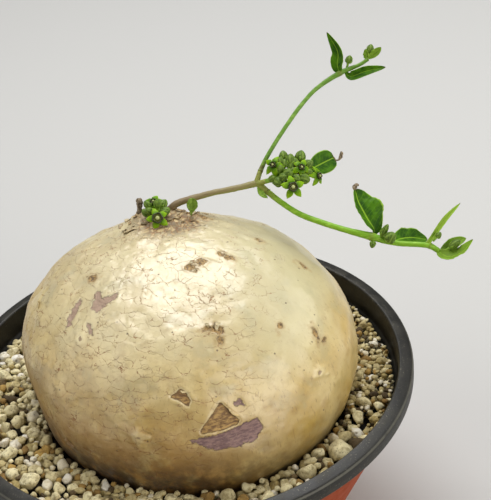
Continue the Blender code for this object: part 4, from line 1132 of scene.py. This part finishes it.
def pebble_form(dice, detail):
    """A worn angular stone, about 1 mm in radius: an icosphere with flats pressed into it."""
    bm = bmesh.new()
    bmesh.ops.create_icosphere(bm, subdivisions=detail, radius=1.0)
    stretch = Vector((dice.uniform(0.95, 1.4), dice.uniform(0.78, 1.0), dice.uniform(0.66, 0.9)))
    flats = []
    for _ in range(dice.randint(7, 11)):
        way = Vector((dice.gauss(0, 1), dice.gauss(0, 1), dice.gauss(0, 1))).normalized()
        flats.append((way, dice.uniform(0.58, 0.84)))
    shift = Vector((dice.uniform(0, 9), 7, 3))
    for vert in bm.verts:
        for way, limit in flats:
            over = vert.co.dot(way) - limit
            if over > 0:
                vert.co -= way * over * 0.90
        vert.co *= 1 + 0.12 * noise.noise(vert.co * 2.1 + shift)
        vert.co = Vector((vert.co.x * stretch.x, vert.co.y * stretch.y, vert.co.z * stretch.z))
    points = np.array([v.co for v in bm.verts])
    faces = [tuple(v.index for v in f.verts) for f in bm.faces]
    bm.free()
    return points, faces


def skin_reach(skin):
    """Reach of the skin from the pan's axis at the gravel, for each degree of azimuth.

    It is rounded, so that the gravel laid by it can't differ with the last digits of a sum.
    """
    points = np.array([v.co for v in skin.data.vertices]) / MM
    near = (points[:, 2] > BED_LEVEL) & (points[:, 2] < GRAVEL_TOP + 3)
    degrees = np.degrees(np.arctan2(points[near, 1], points[near, 0])).astype(int) % 360
    reach = np.hypot(points[near, 0], points[near, 1])
    return [round(float(reach[degrees == degree].mean()), 2) for degree in range(360)]


class Heap:
    """Heights of the gravel so far, on a grid of 1 mm squares."""

    def __init__(self):
        self.half = 100
        self.heights = np.full((2 * self.half + 1,) * 2, BED_LEVEL)

    def window(self, x, y, radius):
        span = max(int(radius * 0.85), 1)
        column, row = int(round(x)) + self.half, int(round(y)) + self.half
        return self.heights[row - span:row + span + 1, column - span:column + span + 1], span

    def drop(self, x, y, radius):
        """Height that a stone of this radius comes to rest at, by its middle."""
        window, _span = self.window(x, y, radius)
        return float(np.percentile(window, 60)) + radius * 0.62

    def cover(self, x, y, z, radius):
        window, span = self.window(x, y, radius)
        rows, columns = np.mgrid[-span:span + 1, -span:span + 1]
        share = (rows ** 2 + columns ** 2) / (span + 0.6) ** 2
        np.maximum(window, z + 0.75 * radius * np.sqrt(np.clip(1 - share, 0, 1)), out=window)

    def top(self, x, y):
        return self.heights[int(round(y)) + self.half, int(round(x)) + self.half]


def scatter_stones(reach, dice):
    """Drop stones one by one until the ring round the caudex is heaped to its level."""
    heap = Heap()
    stones = []
    for x, y, radius in LARGE_STONES:
        z = max(GRAVEL_TOP - 0.25 * radius, heap.drop(x, y, radius))
        stones.append((x, y, z, radius))
    misses = 0
    while misses < 1200 and len(stones) < 4200:
        angle = dice.uniform(0, math.tau)
        fine = math.cos(angle - math.radians(FINE_SIDE)) > dice.uniform(0.1, 0.6)
        sizes, odds = zip(*(FINE if fine else COARSE))
        radius = dice.choices(sizes, odds)[0] * dice.uniform(0.85, 1.15)
        inner = reach[int(math.degrees(angle)) % 360] + radius * 0.85
        outer = outer_radius(LEDGE_HEIGHT) - WALL - radius * 1.15
        away = math.sqrt(dice.uniform(inner ** 2, outer ** 2))
        x, y = away * math.cos(angle), away * math.sin(angle)
        if any(math.dist((x, y), big[:2]) < big[2] + radius * 0.6 for big in LARGE_STONES):
            misses += 0.2
            continue
        z = heap.drop(x, y, radius)
        bank = 1.6 * noise.noise(Vector((x, y, 0)) / 34)
        if z + radius * 0.7 > GRAVEL_TOP + bank + (1.4 if radius > 2.8 else 0.2):
            misses += 1
            continue
        misses = 0
        heap.cover(x, y, z, radius)
        stones.append((x, y, z, radius))
    return stones, heap


def make_gravel(kinds, soil, reach):
    """Loose stones of several kinds on a bed of dark grit."""
    dice = random.Random(7)
    stones, heap = scatter_stones(reach, dice)
    fine, plain, rough = ([pebble_form(dice, detail) for _ in range(GRAIN_FORMS)]
                          for detail in (3, 2, 1))
    shapes = {name: Shape() for name in kinds}
    names = list(kinds)
    odds = [kinds[name][1] for name in names]
    for number, (x, y, z, radius) in enumerate(stones):
        large = number < len(LARGE_STONES)
        buried = not large and heap.top(x, y) > z + radius * 1.2
        forms = rough if buried else fine if radius > 2.3 else plain
        points, faces = dice.choice(forms)
        spin = Matrix.Rotation(dice.uniform(0, math.tau), 3, "Z")
        turn = spin @ Matrix.Rotation(dice.uniform(-0.6, 0.6), 3, "X")
        placed = (points * radius) @ np.array(turn).T + np.array((x, y, z))
        name = "pumice" if large else dice.choices(names, odds)[0]
        dusty = math.cos(math.atan2(y, x) - math.radians(FINE_SIDE)) > 0.35
        tone = dice.uniform(0.0, 0.35) if large else dice.random() ** (0.6 if dusty else 1.3)
        shapes[name].add(placed, faces, tone=tone)
    for name, shape in shapes.items():
        shape.build("gravel_" + name, kinds[name][0], "gravel", replaced=("gravel",))
    make_bed(soil)


def make_bed(soil):
    """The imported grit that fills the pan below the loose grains, closed all round."""
    side = outer_radius(BED_LEVEL) - WALL - 0.5
    foot = outer_radius(FLOOR) - WALL - 0.5
    profile = ((0.0, BED_LEVEL), (side * 0.7, BED_LEVEL), (side, BED_LEVEL), (foot, FLOOR + 0.3),
               (0.0, FLOOR + 0.3))
    shape = Shape()
    points, faces = [], []
    steps = 120
    for r, z in profile:
        for step in range(steps):
            angle = math.tau * step / steps
            rise = 0.8 * noise.noise(Vector((math.cos(angle), math.sin(angle), r / 30)) * 6)
            points.append((r * math.cos(angle), r * math.sin(angle), z + (rise if z > 50 else 0)))
    for row in range(len(profile) - 1):
        for step in range(steps):
            after = (step + 1) % steps
            faces.append((row * steps + step, row * steps + after,
                          (row + 1) * steps + after, (row + 1) * steps + step))
    shape.add(points, faces)
    weld(shape.build("gravel_bed", soil, "gravel", replaced=("gravel",)))


# Flowers

def flower_frame(middle, facing, turn):
    aim = Vector(facing).normalized().to_track_quat("Z", "Y").to_matrix().to_4x4()
    return Matrix.Translation(middle) @ aim @ Matrix.Rotation(math.radians(turn), 4, "Z")


def add_petals(shape, middle, facing, radius, turn, seed):
    """Five broad pointed petals that spread and bend back from under the ring."""
    dice = random.Random(seed)
    place = flower_frame(middle, facing, turn)
    axis = Vector(facing).normalized()
    for index in range(5):
        droop = dice.uniform(0.22, 0.58) * radius
        spin = Matrix.Rotation(math.tau * index / 5 + dice.uniform(-0.12, 0.12), 4, "Z")
        midrib = [place @ spin @ Vector(p) for p in (
            (0.8, 0, -0.1), (0.45 * radius, 0, 0.30), (0.80 * radius, 0, 0.10 - droop * 0.4),
            (1.08 * radius, 0, -droop))]
        add_leaf(shape, midrib, radius * 0.62, axis, widest=0.46, fold=-0.24, rows=20,
                 columns=10, thickness=0.45, wave=0.10, ends=(0.6, 0.95), base=0.7, tip=0.14,
                 dry=2.0, seed=index)


def add_corona(shape, middle, facing, turn, share):
    """A five-lobed dark ring round an olive floor and a pale knob."""
    place = flower_frame(middle, facing, turn + 36) @ Matrix.Diagonal((share, share, 1, 1))
    # Radius, height and tone: 1 on the knob, 0.5 on the floor, 0 on the ring
    profile = ((0.0, 1.75, 1.0), (0.40, 1.70, 1.0), (0.70, 1.45, 1.0), (0.78, 1.10, 0.9),
               (0.85, 0.80, 0.3), (1.05, 0.62, 0.5), (1.35, 0.66, 0.5), (1.55, 0.90, 0.2),
               (1.66, 1.28, 0.0), (1.84, 1.42, 0.0), (2.06, 1.25, 0.0), (2.16, 0.8, 0.1),
               (1.95, 0.35, 0.2), (0.0, 0.2, 0.2))
    sides = 50
    points, faces, tone = [], [], []
    for index, (r, z, shade) in enumerate(profile):
        for step in range(sides):
            angle = math.tau * step / sides
            lobe = 1 + (0.07 * math.cos(5 * angle) if r > 1.2 else 0.0)
            peak = z + (0.18 * math.cos(5 * angle) if 1.6 < r < 2.1 and z > 1 else 0.0)
            points.append(place @ Vector((r * lobe * math.cos(angle), r * lobe * math.sin(angle),
                                          peak)))
            tone.append(shade)
    for row in range(len(profile) - 1):
        for step in range(sides):
            after = (step + 1) % sides
            faces.append((row * sides + step, row * sides + after,
                          (row + 1) * sides + after, (row + 1) * sides + step))
    shape.add(points, faces, tone=tone)


def make_flowers(petal, corona):
    for number, (key, (middle, facing, radius, turn, _root)) in enumerate(FLOWERS.items()):
        petals, ring = Shape(), Shape()
        add_petals(petals, middle, facing, radius, turn, 20 + number)
        petals.build(key + "_star", petal, "petal", replaced=(key + "_petals",))
        add_corona(ring, middle, facing, turn, RING_SHARES.get(key, 1.0))
        weld(ring.build(key + "_ring", corona, "corona", replaced=(key + "_corona",)))


def add_flower_stalk(shape, middle, facing, root):
    """The stalk and the five-lobed cup that an open flower sits in."""
    ahead = Vector(facing).normalized()
    back = Vector(middle) - ahead * 0.25
    neck = back - ahead * CALYX
    add_stem(shape, (tuple(root) + (1.2,), tuple(Vector(root).lerp(neck, 0.6)) + (1.05,),
                     tuple(neck) + (1.2,)), sides=10, bloom=0.0)
    add_stem(shape, (tuple(neck - ahead * 0.2) + (1.1,), tuple(back - ahead * 1.2) + (2.2,),
                     tuple(back) + (2.5,)), sides=20, pitch=0.3, ribs=5, bloom=0.6)
    side = ahead.orthogonal().normalized()
    up = ahead.cross(side)
    for index in range(5):
        angle = math.tau * index / 5
        out = side * math.cos(angle) + up * math.sin(angle)
        add_leaf(shape, (back - ahead * 1.3 + out * 0.8, back - ahead * 0.7 + out * 1.5,
                         back - ahead * 0.6 + out * 2.4), 1.0, ahead, 0.4, 0.2, rows=6, columns=4,
                 thickness=0.2, wave=0.0, bloom=0.3)


# Stems and leaves

def make_leaves(name, leaves, material, slot, node, options=None):
    for index, (midrib, width, facing, widest, fold) in enumerate(leaves):
        shape = Shape()
        add_leaf(shape, midrib, width, facing, widest, fold, seed=index * 1.7,
                 **(options or {}).get(index, {}))
        shape.build("%s_%d" % (name, index + 1), material, slot, replaced=(node,))


def make_plant(bark, upper_green, lower_green, leaf_skin, buds, stub):
    stem = Shape()
    add_stem(stem, MAIN_STEM + (FORK + (3.0,),), sides=24, rough=0.14, end=0.9, nodes=(0.98,))
    for branch in (FORK_UP, FORK_DOWN, FORK_FRONT):
        add_stem(stem, branch, sides=20, start=0.85, end=1.0)
    stem.build("woody_stem", bark, "woody_stem", replaced=("main_stem",))
    make_leaves("fork_bract", (MAIN_BRACT,), buds, "woody_stem", "main_stem",
                {0: {"ends": (0.6, 0.8), "thickness": 0.5, "bloom": 0.15}})

    for name, route, nodes, leaves, bud_list, green, options in (
            ("upper_shoot", UPPER_SHOOT, (0.0, 0.75, 1.0), UPPER_LEAVES, UPPER_BUDS,
             upper_green, {2: {"young": 0.5}, 3: {"young": 0.5}}),
            ("lower_shoot", LOWER_SHOOT, (0.0, 0.555, 0.89), LOWER_LEAVES, LOWER_BUDS,
             lower_green, LOWER_LEAF_SHAPES)):
        shoot = Shape()
        add_stem(shoot, route, sides=20, nodes=nodes)
        shoot.build(name + "_stem", green, "green_shoot", replaced=(name,))
        make_leaves(name + "_leaf", leaves, leaf_skin, "green_shoot", name, options)
        heads = Shape()
        for bud in bud_list:
            add_bud(heads, *bud)
        heads.build(name + "_buds", buds, "green_shoot", replaced=(name,))

    for name, route, leaves, bud_list, word in (
            ("side_flower_stalks", FLOWER_AXIS, CLUSTER_LEAVES, CLUSTER_BUDS, "side"),
            ("crown_flower_stalks", CROWN_AXIS, (), CROWN_BUDS, "crown")):
        bunch = Shape()
        add_stem(bunch, route, sides=16, bloom=0.0)
        for bud in bud_list:
            add_bud(bunch, *bud)
        for key, (middle, facing, _radius, _turn, root) in FLOWERS.items():
            if key.startswith(word):
                add_flower_stalk(bunch, middle, facing, root)
        bunch.build(name + "_bunch", buds, "flower_stalk", replaced=(name,))
        make_leaves(name + "_leaf", leaves, leaf_skin, "flower_stalk", name,
                    {0: {"ends": (0.6, 0.42), "dry": 0.94, "wave": 0.3}})

    sprout = Shape()
    add_stem(sprout, tuple(p + (1.3,) for p in CROWN_LEAF[:2]), sides=10)
    sprout.build("crown_leaf_stalk", upper_green, "green_shoot", replaced=("crown_leaf",))
    make_leaves("crown_leaf_blade", ((CROWN_LEAF[1:], 5.0, (0.0, -0.85, 0.5), 0.66, 0.35),),
                buds, "green_shoot", "crown_leaf", {0: {"ends": (1.5, 0.45), "bloom": 0.45}})
    dead = Shape()
    add_stem(dead, DEAD_STUB, sides=18, rough=0.45, ribs=3, pitch=0.4)
    dead.build("dead_stub_wood", stub, "dead_wood", replaced=("dead_stub",))
    tips = Shape()
    for curl in DRY_TIPS:
        add_stem(tips, curl, sides=8, rough=0.4, pitch=0.25)
    tips.build("dry_leaf_tips", stub, "dead_wood", replaced=("dead_stub",))


# Stage

def make_stage():
    floor = bpy.data.meshes.new("floor")
    floor.from_pydata([(-20, -20, 0), (20, -20, 0), (20, 20, 0), (-20, 20, 0)], [], [(0, 1, 2, 3)])
    floor.materials.append(backdrop_paper())
    piece = bpy.data.objects.new("floor", floor)
    bpy.context.scene.collection.objects.link(piece)
    for name, place, size, power, tint in (
            ("key", (0.08, 0.42, 1.02), 0.80, 12.5, "#FFFFFF"),
            ("front", (1.00, -1.05, 0.50), 1.30, 20, "#FFFAF0"),
            ("right", (1.00, 0.20, 0.60), 0.60, 2.5, "#FFFEF8"),
            ("left", (-1.15, -0.20, 0.70), 1.50, 9.5, "#FFFBF2")):
        lamp = bpy.data.lights.new(name, "AREA")
        lamp.size = size
        lamp.energy = power
        lamp.color = srgb(tint)[:3]
        holder = bpy.data.objects.new(name, lamp)
        holder.location = place
        aim = Vector((0.01, 0.0, 0.10)) - Vector(place)
        holder.rotation_euler = aim.to_track_quat("-Z", "Y").to_euler()
        bpy.context.scene.collection.objects.link(holder)
    world = bpy.data.worlds.new("studio")
    world.use_nodes = True
    sky = world.node_tree.nodes["Background"]
    sky.inputs["Color"].default_value = srgb("#EFEEEA")
    sky.inputs["Strength"].default_value = 0.13
    bpy.context.scene.world = world


def make_camera():
    camera = bpy.data.cameras.new("camera")
    camera.lens = CAMERA_LENS
    camera.sensor_width = 36.0
    camera.clip_start = 0.01
    camera.clip_end = 20.0
    holder = bpy.data.objects.new("camera", camera)
    bpy.context.scene.collection.objects.link(holder)
    place, aim = Vector(CAMERA_PLACE) * MM, Vector(CAMERA_AIM) * MM
    roll = Quaternion((0.0, 0.0, 1.0), math.radians(CAMERA_ROLL))
    holder.location = place
    holder.rotation_euler = ((aim - place).to_track_quat("-Z", "Y") @ roll).to_euler()
    bpy.context.scene.camera = holder


def main():
    # Without a seed of its own, noise_vector differs from one run to the next
    noise.seed_set(4)
    bpy.context.scene.view_settings.view_transform = "Standard"
    make_camera()
    make_stage()
    make_pot(moulded_polypropylene())
    cork = caudex_cork()
    skin = make_caudex(cork)
    make_scales(cork)
    make_gravel({
        "pumice": (crushed_stone("gravel_crushed_pumice", "#EEE4BA", "#B09E68", 0.95, 1.6,
                                 "#8A7646"), 0.66),
        "quartz": (crushed_stone("gravel_crushed_quartz", "#F4F0E4", "#DCD2B4", 0.55, 3.2,
                                 "#B5A274"), 0.13),
        "baked_clay": (crushed_stone("gravel_baked_clay", "#B89652", "#86693A", 0.92, 1.8,
                                     "#6A5024"), 0.11),
        "lava": (crushed_stone("gravel_crushed_lava", "#756242", "#4C3E28", 0.95, 1.4,
                               "#352A1A"), 0.10),
    }, potting_grit_and_gap_shade(), skin_reach(skin))
    buds = downy_bud()
    make_plant(thin_bark(), green_stem("upper_stem_waxy_skin", "#6C6638", "#5A8224", "#84A844"),
               green_stem("lower_stem_waxy_skin", "#7E8C3A", "#76A426", "#9CC44A"),
               leaf_blade(), buds, dead_wood())
    make_flowers(waxy_petal(), fleshy_ring())


main()
